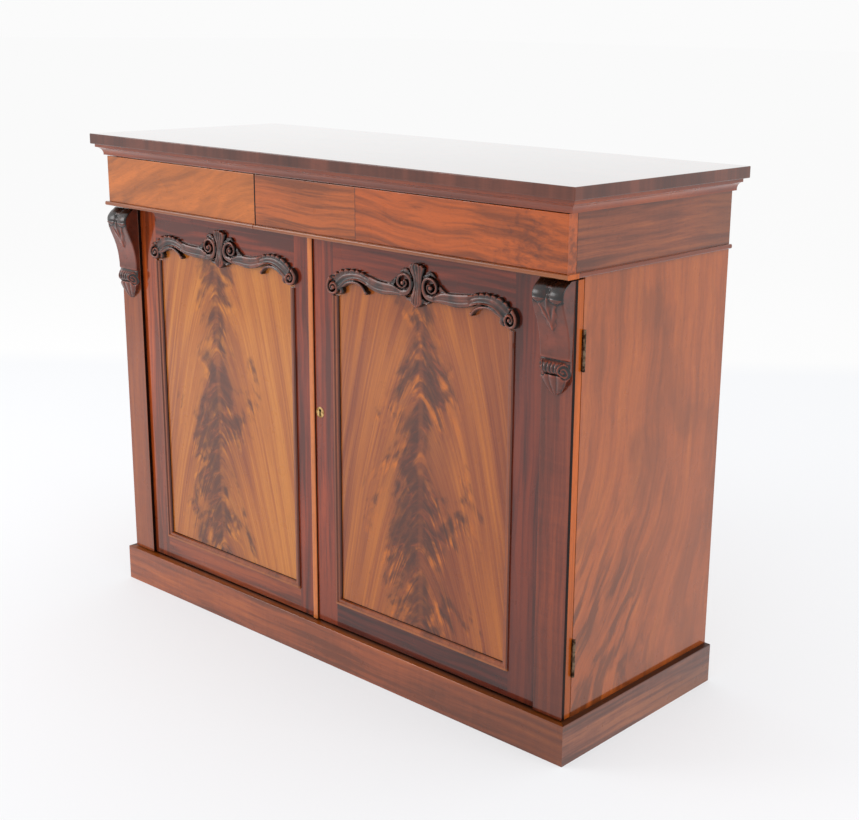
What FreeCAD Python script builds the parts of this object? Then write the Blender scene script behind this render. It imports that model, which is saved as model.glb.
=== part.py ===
import FreeCAD, Part
import Sketcher
import os
import re

# A mahogany side cabinet: two framed doors with applied pilasters, corbels and
# carved crests, two frieze drawers above them, a plinth below and a moulded top.
# Millimetres, +Z up, X across the front, -Y towards the front. The origin is at
# the middle of the whole outline, on the floor.

V = FreeCAD.Vector
doc = FreeCAD.newDocument("side_cabinet")

SIZES = {
    "top_overhang": (25.3, "top board past the sides of the case"),
    "top_front_out": (6.8, "top board past the front of the cornice"),
    "top_thick": (19.4, "top board"),
    "top_soft": (1.4, "rounding of the top board's edges"),
    "rear_overhang": (11.4, "top board past the back of the case"),
    "case_width": (1129.4, "case over the sides"),
    "case_depth": (388.5, "front edge of the case sides, from the back"),
    "side_thick": (19, "case sides"),
    "cupboard_high": (708.7, "top of the plinth to the frieze"),
    "frieze_out": (21.5, "front edge of the frieze past the case's front edge"),
    "frieze_high": (96.2, "frieze, underside to the cornice"),
    "frieze_floor_thick": (11.1, "board that the drawers run on"),
    "cornice_out": (34.8, "front of the cornice past the front edge of the frieze"),
    "cornice_high": (20.5, "cornice moulding"),
    "cornice_thick": (19.5, "cornice moulding, and how far its returns stand out"),
    "fillet_high": (6, "square fillet along the top of the cornice"),
    "fillet_quirk": (1.4, "step under the fillet"),
    "cove_run": (11, "how far the cove springs out"),
    "cove_radius": (13, "hollow of the cove"),
    "bead_high": (7.5, "frieze bead"),
    "bead_proud": (5.8, "frieze bead past the frieze"),
    "bead_round": (2.6, "rounding of the frieze bead"),
    "plinth_side_out": (11.6, "plinth past the sides of the case"),
    "plinth_front_out": (33.1, "plinth past the case's front edge"),
    "plinth_high": (70.2, "plinth"),
    "plinth_thick": (20, "plinth boards"),
    "plinth_soft": (1.5, "rounding of the plinth's top edge"),
    "plinth_block": (45, "glue blocks in the plinth's corners"),
    "block_lift": (6, "glue blocks above the floor"),
    "floor_thick": (18, "cupboard floor"),
    "back_thick": (9, "back boards"),
    "back_inset": (3, "back boards in from the back of the case"),
    "rail_deep": (50, "top rails, front to back"),
    "stop_rail_thick": (18.5, "rail that the doors close against, front to back"),
    "stop_rail_high": (19, "rail that the doors close against"),
    "bearer_size": (15, "square bearers under the shelf and the frieze floor"),
    "shelf_thick": (16, "shelf"),
    "shelf_top": (404, "top of the shelf above the floor"),
    "shelf_set_back": (12, "front edge of the shelf behind the case's front edge"),
    "door_gap": (1.5, "doors to the front edge of the case"),
    "door_thick": (14, "door frames"),
    "door_low": (1.8, "doors above the plinth"),
    "door_high": (3.9, "doors below the frieze"),
    "meeting_shift": (21.7, "line where the doors meet, left of the middle"),
    "meeting_gap": (0.8, "between the doors"),
    "left_outer_stile": (106.2, "left door's hinge stile"),
    "left_inner_stile": (36.4, "left door's meeting stile"),
    "right_outer_stile": (118.2, "right door's hinge stile"),
    "right_inner_stile": (61.8, "right door's meeting stile"),
    "bottom_rail": (44.7, "doors' bottom rails"),
    "top_rail": (63, "doors' top rails"),
    "frame_soft": (0.8, "rounding of the left door's free edge and of the pilasters"),
    "tenon_long": (26, "rail tenons"),
    "tenon_thick": (5, "rail tenons"),
    "tenon_shoulder": (10, "rail tenons, in from the rail's edges"),
    "panel_thick": (6, "door panels"),
    "panel_set": (3, "panels behind the frames' faces"),
    "panel_tongue": (7, "panels' edges held in the frames"),
    "panel_bead_wide": (12.2, "bead round the panels"),
    "panel_bead_high": (7.5, "bead above the panel's face"),
    "panel_bead_wall": (5.2, "straight outer wall of the panel bead"),
    "panel_bead_slope": (4.6, "height where the panel bead's hollow ends"),
    "panel_bead_foot": (2.2, "foot of the panel bead's inner edge"),
    "panel_bead_step": (6.1, "inner end of the panel bead's raised roll"),
    "panel_bead_crest": (3.2, "flat crest of the panel bead's roll"),
    "panel_bead_edge": (1.5, "crest of the panel bead in from its outer wall"),
    "panel_bead_top": (0.8, "upper ends of the panel beads under the crests' scrolls"),
    "pilaster_wide": (59.4, "pilasters"),
    "pilaster_proud": (6.5, "pilasters past the door frames"),
    "corbel_wide": (57, "corbels"),
    "corbel_high": (175, "corbels, cap to pendant tip"),
    "corbel_proud": (31.5, "corbels past the pilasters"),
    "corbel_low": (0.4, "corbels' caps under the top of the doors"),
    "crest_past": (9.5, "carved crests past the panel openings"),
    "crest_thick": (10, "carved crests"),
    "crest_rise": (51, "crests above the top of the panel opening"),
    "crest_drop": (30, "crests below the top of the panel opening"),
    "hinge_long": (63.5, "hinge leaves"),
    "hinge_low": (101.6, "middle of the lower hinges above the doors' lower edge"),
    "hinge_top": (107, "middle of the upper hinges below the doors' upper edge"),
    "leaf_wide": (16, "hinge leaves"),
    "leaf_thick": (1.2, "hinge leaves"),
    "knuckle_radius": (2.7, "hinge knuckles"),
    "knuckle_out": (3, "hinge pins outside the case"),
    "knuckle_gap": (0.25, "between the knuckles"),
    "pin_radius": (1.3, "hinge pins"),
    "pin_play": (0.05, "hinge pins in the moving knuckle"),
    "strip_wide": (12.4, "astragal strip on the right door"),
    "strip_proud": (4, "astragal strip past the door's face"),
    "strip_round": (2.6, "rounding of the astragal strip"),
    "escutcheon_shift": (24.1, "keyhole from the right door's edge"),
    "keyhole_height": (395, "keyhole above the doors' lower edge"),
    "escutcheon_radius": (9.6, "escutcheon"),
    "escutcheon_thick": (2.4, "escutcheon"),
    "escutcheon_proud": (0.6, "escutcheon past the stile"),
    "keyhole_radius": (2.9, "round part of the keyhole"),
    "keyhole_slot": (3.4, "width of the keyhole's slot"),
    "keyhole_drop": (9.5, "length of the keyhole's slot"),
    "keyhole_rise": (3.2, "round of the keyhole above the escutcheon's middle"),
    "keyhole_room": (1, "keyhole in the wood and lock past the keyhole in the brass"),
    "lock_wide": (48, "lock case"),
    "lock_high": (54, "lock case"),
    "lock_deep": (11, "lock case"),
    "lock_edge": (2, "lock case in from the door's edge"),
    "lock_wall": (1.8, "lock case's walls round the bolt"),
    "lock_bolt_long": (36, "lock bolt"),
    "lock_bolt_high": (11, "lock bolt"),
    "lock_bolt_thick": (5.6, "lock bolt"),
    "lock_bolt_rise": (11, "lock bolt above the keyhole's middle"),
    "slide_play": (0.2, "round flat sliding pieces"),
    "keeper_wide": (15, "keeper on the left door"),
    "keeper_edge": (1, "keeper in from the left door's edge"),
    "keeper_lip": (3.6, "keeper above and below its pocket"),
    "bolt_edge": (17, "door bolts from the left door's edge"),
    "bolt_radius": (3, "door bolt rods"),
    "bolt_play": (0.06, "door bolt rods in their housings"),
    "bolt_hole_play": (0.5, "door bolt rods in the holes of the case"),
    "bolt_hole_deep": (16, "holes of the case for the door bolts"),
    "bolt_long": (56, "door bolt rods"),
    "bolt_throw": (12, "door bolts' travel, with the slots that their knobs run in"),
    "bolt_back": (6.5, "middle of the door bolts behind the door"),
    "bolt_clear": (1.2, "door bolts, drawn back, to the wood above or below"),
    "housing_wide": (18, "door bolt housings"),
    "housing_deep": (10, "door bolt housings"),
    "housing_high": (46, "door bolt housings"),
    "housing_end": (8, "door bolt housings from the ends of the drawn-back rods"),
    "knob_radius": (2, "door bolt knobs"),
    "knob_long": (12, "door bolt knobs"),
    "knob_play": (0.3, "door bolt knobs in their slots"),
    "drawer_split": (127, "line between the drawers, left of the middle"),
    "divider_thick": (18.5, "upright between the drawers"),
    "drawer_gap": (1.6, "between the drawer fronts, and above them"),
    "drawer_front_thick": (21.7, "drawer fronts"),
    "drawer_play": (0.8, "beside the drawers"),
    "drawer_lift": (0.2, "under the drawers"),
    "drawer_side_thick": (10, "drawer sides and backs"),
    "drawer_side_high": (74, "drawer sides"),
    "drawer_back_room": (26, "behind the drawers, to the back boards"),
    "drawer_bottom_thick": (6, "drawer bottoms"),
    "drawer_bottom_up": (8, "drawer bottoms above the sides' lower edges"),
    "drawer_groove": (4, "depth of the grooves for the drawer bottoms"),
    "drawer_back_low": (6, "drawer backs under the top of the sides"),
    "drawer_soft": (1, "rounding of the drawer fronts' edges"),
}

sheet = doc.addObject("Spreadsheet::Sheet", "sizes")
for row, (alias, (number, meaning)) in enumerate(SIZES.items(), start=1):
    sheet.set(f"A{row}", alias)
    sheet.set(f"B{row}", str(number))
    sheet.set(f"C{row}", meaning)
    sheet.setAlias(f"B{row}", alias)
doc.recompute()

# Places, as rules on the sizes: x across, y to the back, z up.
top_depth = "(rear_overhang + case_depth + frieze_out + cornice_out + top_front_out)"
rear = f"({top_depth} / 2 - rear_overhang)"
side_out = "(case_width / 2)"
side_in = "(case_width / 2 - side_thick)"
case_front = f"({rear} - case_depth)"
frieze_front = f"({case_front} - frieze_out)"
cornice_front = f"({frieze_front} - cornice_out)"
top_front = f"({cornice_front} - top_front_out)"
top_half = "(case_width / 2 + top_overhang)"
cornice_half = "(case_width / 2 + cornice_thick)"
plinth_half = "(case_width / 2 + plinth_side_out)"
plinth_front = f"({case_front} - plinth_front_out)"
frieze_low = "(plinth_high + cupboard_high)"
back_face = f"({rear} - back_inset - back_thick)"
cornice_low = f"({frieze_low} + frieze_high)"
top_low = f"({cornice_low} + cornice_high)"
drawer_floor = f"({frieze_low} + frieze_floor_thick)"
floor_low = "(plinth_high - floor_thick)"
door_back = f"({case_front} - door_gap)"
door_face = f"({door_back} - door_thick)"
door_bottom = "(plinth_high + door_low)"
door_top = f"({frieze_low} - door_high)"
opening_low = f"({door_bottom} + bottom_rail)"
opening_top = f"({door_top} - top_rail)"
pilaster_face = f"({door_face} - pilaster_proud)"
left_edge = "(-meeting_shift - meeting_gap / 2)"
right_edge = "(-meeting_shift + meeting_gap / 2)"
hinge_y = f"({case_front} - door_gap / 2)"
keyhole_x = f"({right_edge} + escutcheon_shift)"
keyhole_z = f"({door_bottom} + keyhole_height)"
bolt_x = f"({left_edge} - bolt_edge)"
bolt_y = f"({door_back} + bolt_back)"
stop_rail_low = f"({frieze_low} - stop_rail_high)"
drawer_end = f"({back_face} - drawer_back_room)"

NEAR = 0.01
BACK_BOARDS = 3

parts = []


def bound(rule):
    """Write a rule in the names that the sheet gives its cells."""
    return re.sub(r"[a-z]+(_[a-z]+)*", r"sizes.\g<0>", rule)


def bind(piece, **rules):
    """Tie properties of a piece to rules on the sizes."""
    for name, rule in rules.items():
        piece.setExpression(name, bound(rule))
    return piece


def put(piece, x="0", y="0", z="0", turn=None):
    """Place a piece by rules, after turning it if need be."""
    if turn is not None:
        piece.Placement = FreeCAD.Placement(V(), turn)
    for side, rule in zip("xyz", (x, y, z)):
        piece.setExpression(f"Placement.Base.{side}", bound(rule))
    return piece


def node(piece, name):
    """Count a finished piece as a sub-part under its own name."""
    piece.Label = name
    parts.append(piece)
    return piece


def board(name, x, y, z):
    """A plain board between two places on each axis."""
    piece = doc.addObject("Part::Box", name)
    for side, length, (low, high) in zip("xyz", ("Length", "Width", "Height"), (x, y, z)):
        piece.setExpression(length, bound(f"({high}) - ({low})"))
        piece.setExpression(f"Placement.Base.{side}", bound(low))
    return piece


def rod(name, radius, length, x, y, z, turn=None):
    """A round bar that starts at a place and runs up, or along a turned axis."""
    piece = doc.addObject("Part::Cylinder", name)
    bind(piece, Radius=radius, Height=length)
    return put(piece, x, y, z, turn)


def fused(name, pieces):
    """Several shapes as one piece."""
    whole = doc.addObject("Part::MultiFuse", name)
    whole.Shapes = pieces
    whole.Refine = True
    return whole


def less(name, base, tools):
    """A piece with other shapes cut out of it."""
    cutter = tools[0] if len(tools) == 1 else fused(name + "_cutter", tools)
    piece = doc.addObject("Part::Cut", name)
    piece.Base = base
    piece.Tool = cutter
    return piece


def group(name, pieces):
    """Like pieces that share a node, each still a solid of its own."""
    whole = doc.addObject("Part::Compound", name)
    whole.Links = pieces
    return whole


def origin_plane(body, role):
    """One of a body's own origin planes."""
    return next(plane for plane in body.Origin.OriginFeatures if plane.Role == role)


def new_sketch(body, name):
    """A sketch on the body's own XY plane."""
    sketch = body.newObject("Sketcher::SketchObject", name)
    sketch.AttachmentSupport = (origin_plane(body, "XY_Plane"), "")
    sketch.MapMode = "FlatFace"
    return sketch


def measured(rule):
    """The millimetres that a rule gives with the sheet's present sizes."""
    sheet.set("E1", "=" + rule)
    sheet.recompute()
    return float(sheet.get("E1"))


def arc_between(start, end, radius, bend):
    """An arc between two points, swelling to their left, or to their right if bend is -1."""
    chord = end - start
    rise = radius - (radius ** 2 - (chord.Length / 2) ** 2) ** 0.5
    left = V(-chord.y, chord.x, 0).normalize()
    return Part.Arc(start, start + chord * 0.5 + left * (bend * rise), end)


def hold(sketch, edge, end, x, y):
    """Keep one end of an edge at a place given by rules."""
    for kind, rule in (("DistanceX", x), ("DistanceY", y)):
        number = sketch.addConstraint(Sketcher.Constraint(kind, -1, 1, edge, end, measured(rule)))
        sketch.setExpression(f"Constraints[{number}]", bound(rule))


def outline(sketch, corners):
    """A closed outline. A corner is (x, y), or (x, y, radius, bend) where an arc leaves it."""
    points = [V(measured(corner[0]), measured(corner[1]), 0) for corner in corners]
    count = len(corners)
    firsts = []
    for i, corner in enumerate(corners):
        start, end = points[i], points[(i + 1) % count]
        if len(corner) == 2:
            edge = sketch.addGeometry(Part.LineSegment(start, end), False)
        else:
            edge = sketch.addGeometry(arc_between(start, end, measured(corner[2]), corner[3]), False)
        turned = sketch.getPoint(edge, 1).distanceToPoint(start) > NEAR
        firsts.append(2 if turned else 1)
    for i, corner in enumerate(corners):
        following = (i + 1) % count
        last = 3 - firsts[i]
        sketch.addConstraint(Sketcher.Constraint("Coincident", i, last, following, firsts[following]))
        hold(sketch, i, firsts[i], corner[0], corner[1])
        if len(corner) > 2:
            number = sketch.addConstraint(Sketcher.Constraint("Radius", i, measured(corner[2])))
            sketch.setExpression(f"Constraints[{number}]", bound(corner[2]))


def soften(body, pad, radius, chosen):
    """Round the edges of a pad whose two ends pass a test."""
    doc.recompute()
    edges = []
    for number, edge in enumerate(pad.Shape.Edges, start=1):
        start, end = (vertex.Point for vertex in edge.Vertexes)
        if chosen(start, end):
            edges.append(f"Edge{number}")
    fillet = body.newObject("PartDesign::Fillet", body.Name + "_soft")
    fillet.Base = (pad, edges)
    bind(fillet, Radius=radius)


def moulding(name, section, length):
    """A straight length of one section, drawn on XY and padded along Z."""
    body = doc.addObject("PartDesign::Body", name)
    sketch = new_sketch(body, name + "_section")
    outline(sketch, section)
    pad = body.newObject("PartDesign::Pad", name + "_run")
    pad.Profile = sketch
    bind(pad, Length=length)
    return body, pad


def soft_board(name, x, y, z, radius, chosen):
    """A planed board between two places on each axis, with some edges rounded."""
    long, deep, high = (f"(({limits[1]}) - ({limits[0]}))" for limits in (x, y, z))
    corners = [("0", "0"), (long, "0"), (long, deep), ("0", deep)]
    body, pad = moulding(name, corners, high)
    soften(body, pad, radius, chosen)
    return put(body, x[0], y[0], z[0])


def mirrored(side, near, far):
    """A stretch of x from near to far on the right, or its mirror image on the left."""
    return (near, far) if side > 0 else (f"-{far}", f"-{near}")


def mitre(name, x, y, z, size, turn):
    """A cutter whose corner stands on a mitre, turned so that one face lies along it."""
    tool = doc.addObject("Part::Box", name)
    bind(tool, Length=size, Width=size, Height=size)
    return put(tool, x, y, z, turn)


def upright_turn(degrees):
    """A turn about the vertical."""
    return FreeCAD.Rotation(V(0, 0, 1), degrees)


def side_words(side):
    """The word for a side: 1 is the right, -1 the left, as seen from the front."""
    return "right" if side > 0 else "left"


TO_BACK = FreeCAD.Rotation(V(1, 0, 0), -90)
RUNS_LEFT = FreeCAD.Rotation(V(0, -1, 0), V(0, 0, 1), V(-1, 0, 0), "ZXY")
RUNS_FORWARD = FreeCAD.Rotation(V(1, 0, 0), V(0, 0, 1), V(0, -1, 0), "ZXY")
RUNS_BACK = FreeCAD.Rotation(V(-1, 0, 0), V(0, 0, 1), V(0, 1, 0), "ZXY")


# Top board and cornice

def build_top():
    top = soft_board("top_board_body", (f"-{top_half}", top_half), (top_front, f"({rear} + rear_overhang)"),
                     (top_low, f"({top_low} + top_thick)"), "top_soft", lambda a, b: True)
    node(top, "top_board")

    section = [
        ("0", "0"),
        ("cornice_thick - cove_run", "0", "cove_radius", 1),
        ("cornice_thick - fillet_quirk", "cornice_high - fillet_high"),
        ("cornice_thick", "cornice_high - fillet_high"),
        ("cornice_thick", "cornice_high"),
        ("0", "cornice_high"),
    ]
    size = "(cornice_thick + cornice_high) * 2"
    low = f"({cornice_low} - cornice_high / 2)"
    run, pad = moulding("cornice_front_run", section, f"{cornice_half} * 2")
    put(run, cornice_half, f"({cornice_front} + cornice_thick)", cornice_low, RUNS_LEFT)
    cutters = [
        mitre("cornice_front_mitre_right", cornice_half, cornice_front, low, size, upright_turn(45)),
        mitre("cornice_front_mitre_left", f"-{cornice_half}", cornice_front, low, size, upright_turn(45)),
    ]
    node(less("cornice_front_cut", run, cutters), "cornice_front")

    returns = []
    for side, turn, mitre_turn in ((-1, RUNS_BACK, -45), (1, RUNS_FORWARD, 135)):
        word = side_words(side)
        run, pad = moulding(f"cornice_{word}_run", section, f"{rear} - {cornice_front}")
        x = side_out if side > 0 else f"-{side_out}"
        y = rear if side > 0 else cornice_front
        put(run, x, y, cornice_low, turn)
        corner = cornice_half if side > 0 else f"-{cornice_half}"
        cutter = mitre(f"cornice_{word}_mitre", corner, cornice_front, low, size, upright_turn(mitre_turn))
        returns.append(less(f"cornice_{word}_cut", run, [cutter]))
    node(group("cornice_returns_group", returns), "cornice_returns")


# Case: sides, frieze, rails, shelf and back

def hinge_middles():
    """Heights of the middles of a door's two hinges."""
    return {"lower": f"({door_bottom} + hinge_low)", "upper": f"({door_top} - hinge_top)"}


def leaf_seats(name, side, y_low, y_high):
    """Cutters that let the two hinge leaves into an edge."""
    x = mirrored(side, f"({side_out} - leaf_wide)", side_out)
    seats = []
    for place, middle in hinge_middles().items():
        z = (f"({middle} - hinge_long / 2)", f"({middle} + hinge_long / 2)")
        seats.append(board(f"{name}_{place}_seat", x, (y_low, y_high), z))
    return seats


def build_case():
    for side in (-1, 1):
        word = side_words(side)
        x = mirrored(side, side_in, side_out)
        panel = board(f"side_{word}_board", x, (case_front, rear), ("plinth_high", frieze_low))
        seats = leaf_seats(f"side_{word}", side, case_front, f"({case_front} + leaf_thick)")
        node(less(f"side_{word}_cut", panel, seats), f"side_{word}")
        frieze = board(f"frieze_side_{word}_board", x, (frieze_front, rear), (frieze_low, top_low))
        node(frieze, f"frieze_side_{word}")

    beads = []
    bead_z = (frieze_low, f"({frieze_low} + bead_high)")
    for side in (-1, 1):
        x = mirrored(side, side_out, f"({side_out} + bead_proud)")

        def outer_long(a, b, side=side):
            outer = min(a.x, b.x) > NEAR if side > 0 else max(a.x, b.x) < NEAR
            return outer and abs(a.y - b.y) > NEAR

        beads.append(soft_board(f"side_bead_{side_words(side)}", x, (frieze_front, rear), bead_z,
                                "bead_round", outer_long))
    node(group("side_beads_group", beads), "side_beads")

    inside = (f"-{side_in}", side_in)
    node(board("frieze_floor_board", inside, (frieze_front, back_face), (frieze_low, drawer_floor)),
         "frieze_floor")
    divider_x = ("(-drawer_split - divider_thick / 2)", "(-drawer_split + divider_thick / 2)")
    node(board("drawer_divider_board", divider_x, (frieze_front, back_face), (drawer_floor, cornice_low)),
         "drawer_divider")

    top_z = (cornice_low, top_low)
    stop_rail = board("stop_rail_board", inside, (case_front, f"({case_front} + stop_rail_thick)"),
                      (stop_rail_low, frieze_low))
    bolt_hole = rod("top_bolt_hole", "bolt_radius + bolt_hole_play", "bolt_hole_deep",
                    bolt_x, bolt_y, stop_rail_low)
    rails = [
        board("cornice_ground", (f"-{side_out}", side_out),
              (f"({cornice_front} + cornice_thick)", frieze_front), top_z),
        board("top_rail_front", inside, (frieze_front, f"({frieze_front} + rail_deep)"), top_z),
        board("top_rail_rear", inside, (f"({back_face} - rail_deep)", back_face), top_z),
        less("stop_rail_cut", stop_rail, [bolt_hole]),
    ]
    node(group("case_rails_group", rails), "case_rails")

    shelf_low = "(shelf_top - shelf_thick)"
    shelf_y = (f"({case_front} + shelf_set_back)", back_face)
    node(board("shelf_board", inside, shelf_y, (shelf_low, "shelf_top")), "shelf")
    bearers = []
    for side in (-1, 1):
        x = mirrored(side, f"({side_in} - bearer_size)", side_in)
        word = side_words(side)
        bearers.append(board(f"shelf_bearer_{word}", x, shelf_y, (f"({shelf_low} - bearer_size)", shelf_low)))
        bearers.append(board(f"frieze_bearer_{word}", x, (f"({case_front} + stop_rail_thick)", back_face),
                             (f"({frieze_low} - bearer_size)", frieze_low)))
    node(group("bearers_group", bearers), "bearers")

    boards = []
    for i in range(BACK_BOARDS):
        x = tuple(f"(-{side_in} + {side_in} * 2 * {n} / {BACK_BOARDS})" for n in (i, i + 1))
        boards.append(board(f"back_board_{i + 1}", x, (back_face, f"({back_face} + back_thick)"),
                            ("plinth_high", top_low)))
    node(group("back_boards_group", boards), "back_boards")


# Plinth and cupboard floor

def build_plinth():
    size = "(plinth_thick + plinth_high) * 2"
    low = "(-plinth_thick)"
    z = ("0", "plinth_high")
    inner = f"({plinth_half} - plinth_thick)"

    def front_top(a, b):
        return max(a.y, b.y) < NEAR and min(a.z, b.z) > NEAR

    run = soft_board("plinth_front_run", (f"-{plinth_half}", plinth_half),
                     (plinth_front, f"({plinth_front} + plinth_thick)"), z, "plinth_soft", front_top)
    cutters = [
        mitre("plinth_front_mitre_right", plinth_half, plinth_front, low, size, upright_turn(45)),
        mitre("plinth_front_mitre_left", f"-{plinth_half}", plinth_front, low, size, upright_turn(45)),
    ]
    node(less("plinth_front_cut", run, cutters), "plinth_front")

    for side, mitre_turn in ((-1, -45), (1, 135)):
        word = side_words(side)

        def outer_top(a, b, side=side):
            outer = min(a.x, b.x) > NEAR if side > 0 else max(a.x, b.x) < NEAR
            return outer and min(a.z, b.z) > NEAR

        run = soft_board(f"plinth_{word}_run", mirrored(side, inner, plinth_half), (plinth_front, rear), z,
                         "plinth_soft", outer_top)
        corner = plinth_half if side > 0 else f"-{plinth_half}"
        cutter = mitre(f"plinth_{word}_mitre", corner, plinth_front, low, size, upright_turn(mitre_turn))
        node(less(f"plinth_{word}_cut", run, [cutter]), f"plinth_{word}")

    node(board("plinth_back_board", (f"-{inner}", inner), (f"({rear} - plinth_thick)", rear), z), "plinth_back")

    floor = board("cupboard_floor_board", (f"-{inner}", inner),
                  (f"({plinth_front} + plinth_thick)", f"({rear} - plinth_thick)"), (floor_low, "plinth_high"))
    bolt_hole = rod("bottom_bolt_hole", "bolt_radius + bolt_hole_play", "bolt_hole_deep",
                    bolt_x, bolt_y, "(plinth_high - bolt_hole_deep)")
    node(less("cupboard_floor_cut", floor, [bolt_hole]), "cupboard_floor")

    blocks = []
    front_y = (f"({plinth_front} + plinth_thick)", f"({plinth_front} + plinth_thick + plinth_block)")
    rear_y = (f"({rear} - plinth_thick - plinth_block)", f"({rear} - plinth_thick)")
    for side in (-1, 1):
        x = mirrored(side, f"({inner} - plinth_block)", inner)
        for place, y in (("front", front_y), ("rear", rear_y)):
            blocks.append(board(f"plinth_block_{place}_{side_words(side)}", x, y, ("block_lift", floor_low)))
    node(group("plinth_blocks_group", blocks), "plinth_blocks")


# Butt hinges

def hinge(side, place, middle):
    """The case half with its pin, and the door half, of one hinge."""
    name = f"{side_words(side)}_{place}_hinge"
    x_pin = f"({side_out} + knuckle_out)" if side > 0 else f"-({side_out} + knuckle_out)"
    low = f"({middle} - hinge_long / 2)"
    third = "(hinge_long / 3)"
    ends = (low, f"({middle} + hinge_long / 2)")
    levels = {
        "bottom": (low, f"({low} + {third} - knuckle_gap)"),
        "middle": (f"({low} + {third})", f"({low} + {third} * 2)"),
        "top": (f"({low} + {third} * 2 + knuckle_gap)", ends[1]),
    }
    leaf_x = mirrored(side, f"({side_out} - leaf_wide)", side_out)
    neck_x = mirrored(side, side_out, f"({side_out} + knuckle_out)")
    leaf_y = {
        "case": (case_front, f"({case_front} + leaf_thick)"),
        "door": (f"({door_back} - leaf_thick)", door_back),
    }
    halves = {}
    for half, knuckles in (("case", ("bottom", "top")), ("door", ("middle",))):
        pieces = [board(f"{name}_{half}_leaf", leaf_x, leaf_y[half], ends)]
        for level in knuckles:
            z = levels[level]
            pieces.append(board(f"{name}_{half}_{level}_neck", neck_x, leaf_y[half], z))
            pieces.append(rod(f"{name}_{half}_{level}_knuckle", "knuckle_radius", f"{z[1]} - {z[0]}",
                              x_pin, hinge_y, z[0]))
        play = " + pin_play" if half == "door" else ""
        bore = rod(f"{name}_{half}_bore", "pin_radius" + play, "hinge_long", x_pin, hinge_y, low)
        halves[half] = less(f"{name}_{half}_half", fused(f"{name}_{half}_whole", pieces), [bore])
    pin = rod(f"{name}_pin", "pin_radius", "hinge_long", x_pin, hinge_y, low)
    return [halves["case"], pin], halves["door"]


def build_hinges():
    case_pieces = []
    for side in (-1, 1):
        door_pieces = []
        for place, middle in hinge_middles().items():
            case_half, door_half = hinge(side, place, middle)
            case_pieces += case_half
            door_pieces.append(door_half)
        name = f"{side_words(side)}_door_hinge_leaves"
        node(group(name + "_group", door_pieces), name)
    node(group("case_hinge_leaves_group", case_pieces), "case_hinge_leaves")


# Doors

def keyhole(name, room, y_low, length):
    """The keyhole as a solid: a round with a slot below it."""
    radius = f"(keyhole_radius + {room})"
    centre = f"({keyhole_z} + keyhole_rise)"
    half_slot = f"(keyhole_slot / 2 + {room})"
    high = rod(f"{name}_round", radius, length, keyhole_x, y_low, centre, TO_BACK)
    slot = board(f"{name}_slot", (f"({keyhole_x} - {half_slot})", f"({keyhole_x} + {half_slot})"),
                 (y_low, f"({y_low} + {length})"), (f"({centre} - keyhole_drop - {room})", centre))
    return fused(name, [high, slot])


def crest_shape(width):
    """The carved crest as a flat slab: scrolls at both ends, rising to a shell in the middle.

    The outline's points are shares of half the width, and of the rise or the drop.
    """
    rise, drop = measured("crest_rise"), measured("crest_drop")
    upper = [(0, 1), (0.09, 0.93), (0.16, 0.7), (0.23, 0.38), (0.3, 0.29), (0.42, 0.25), (0.55, 0.27),
             (0.7, 0.41), (0.82, 0.41), (0.91, 0.27), (0.97, 0.05)]
    lower = [(1, -0.5), (0.97, -0.88), (0.92, -1), (0.86, -0.85), (0.8, -0.42), (0.7, -0.17), (0.6, -0.24),
             (0.45, -0.25), (0.25, -0.27), (0.1, -0.36), (0, -0.53)]
    half = [(u, v * (rise if v > 0 else drop)) for u, v in upper + lower]
    right = [V(u * width / 2, 0, v) for u, v in half]
    left = [V(-point.x, 0, point.z) for point in reversed(right[1:-1])]
    curve = Part.BSplineCurve()
    curve.interpolate(right + left, PeriodicFlag=True)
    face = Part.Face(Part.Wire(curve.toShape()))
    return face.extrude(V(0, -measured("crest_thick"), 0))


def corbel_shape():
    """The corbel: a swelling brow, a long hollow, a rolled scroll and a tapering pendant.

    The profile's points are shares of how far it stands out and of its height.
    """
    wide, high, proud = (measured(name) for name in ("corbel_wide", "corbel_high", "corbel_proud"))

    def place(out, down):
        return V(0, -out * proud, -down * high)

    brow = [(0.36, 0), (0.74, 0.055), (0.95, 0.13), (1, 0.2), (0.93, 0.28), (0.74, 0.36), (0.5, 0.45),
            (0.34, 0.55), (0.28, 0.66)]
    curve = Part.BSplineCurve()
    curve.interpolate([place(*point) for point in brow])
    scroll = Part.Arc(place(0.28, 0.66), place(0.7, 0.75), place(0.36, 0.83))
    pendant = Part.LineSegment(place(0.36, 0.83), place(0.12, 1))
    foot = Part.LineSegment(place(0.12, 1), place(0, 1))
    spine = Part.LineSegment(place(0, 1), place(0, 0))
    cap = Part.LineSegment(place(0, 0), place(0.36, 0))
    wire = Part.Wire([part.toShape() for part in (curve, scroll, pendant, foot, spine, cap)])
    profile = Part.Face(wire).extrude(V(wide, 0, 0))
    front = [(0, 0), (1, 0), (1, 0.83), (0.6, 1), (0.4, 1), (0, 0.83)]
    points = [V(x * wide, 0, -down * high) for x, down in front]
    outline_face = Part.Face(Part.makePolygon(points + points[:1]))
    return profile.common(outline_face.extrude(V(0, -proud * 2, 0)))


def shaped(name, shape, x, y, z):
    """A carved piece, set in its place."""
    piece = doc.addObject("Part::Feature", name)
    piece.Shape = shape
    return put(piece, x, y, z)


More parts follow.
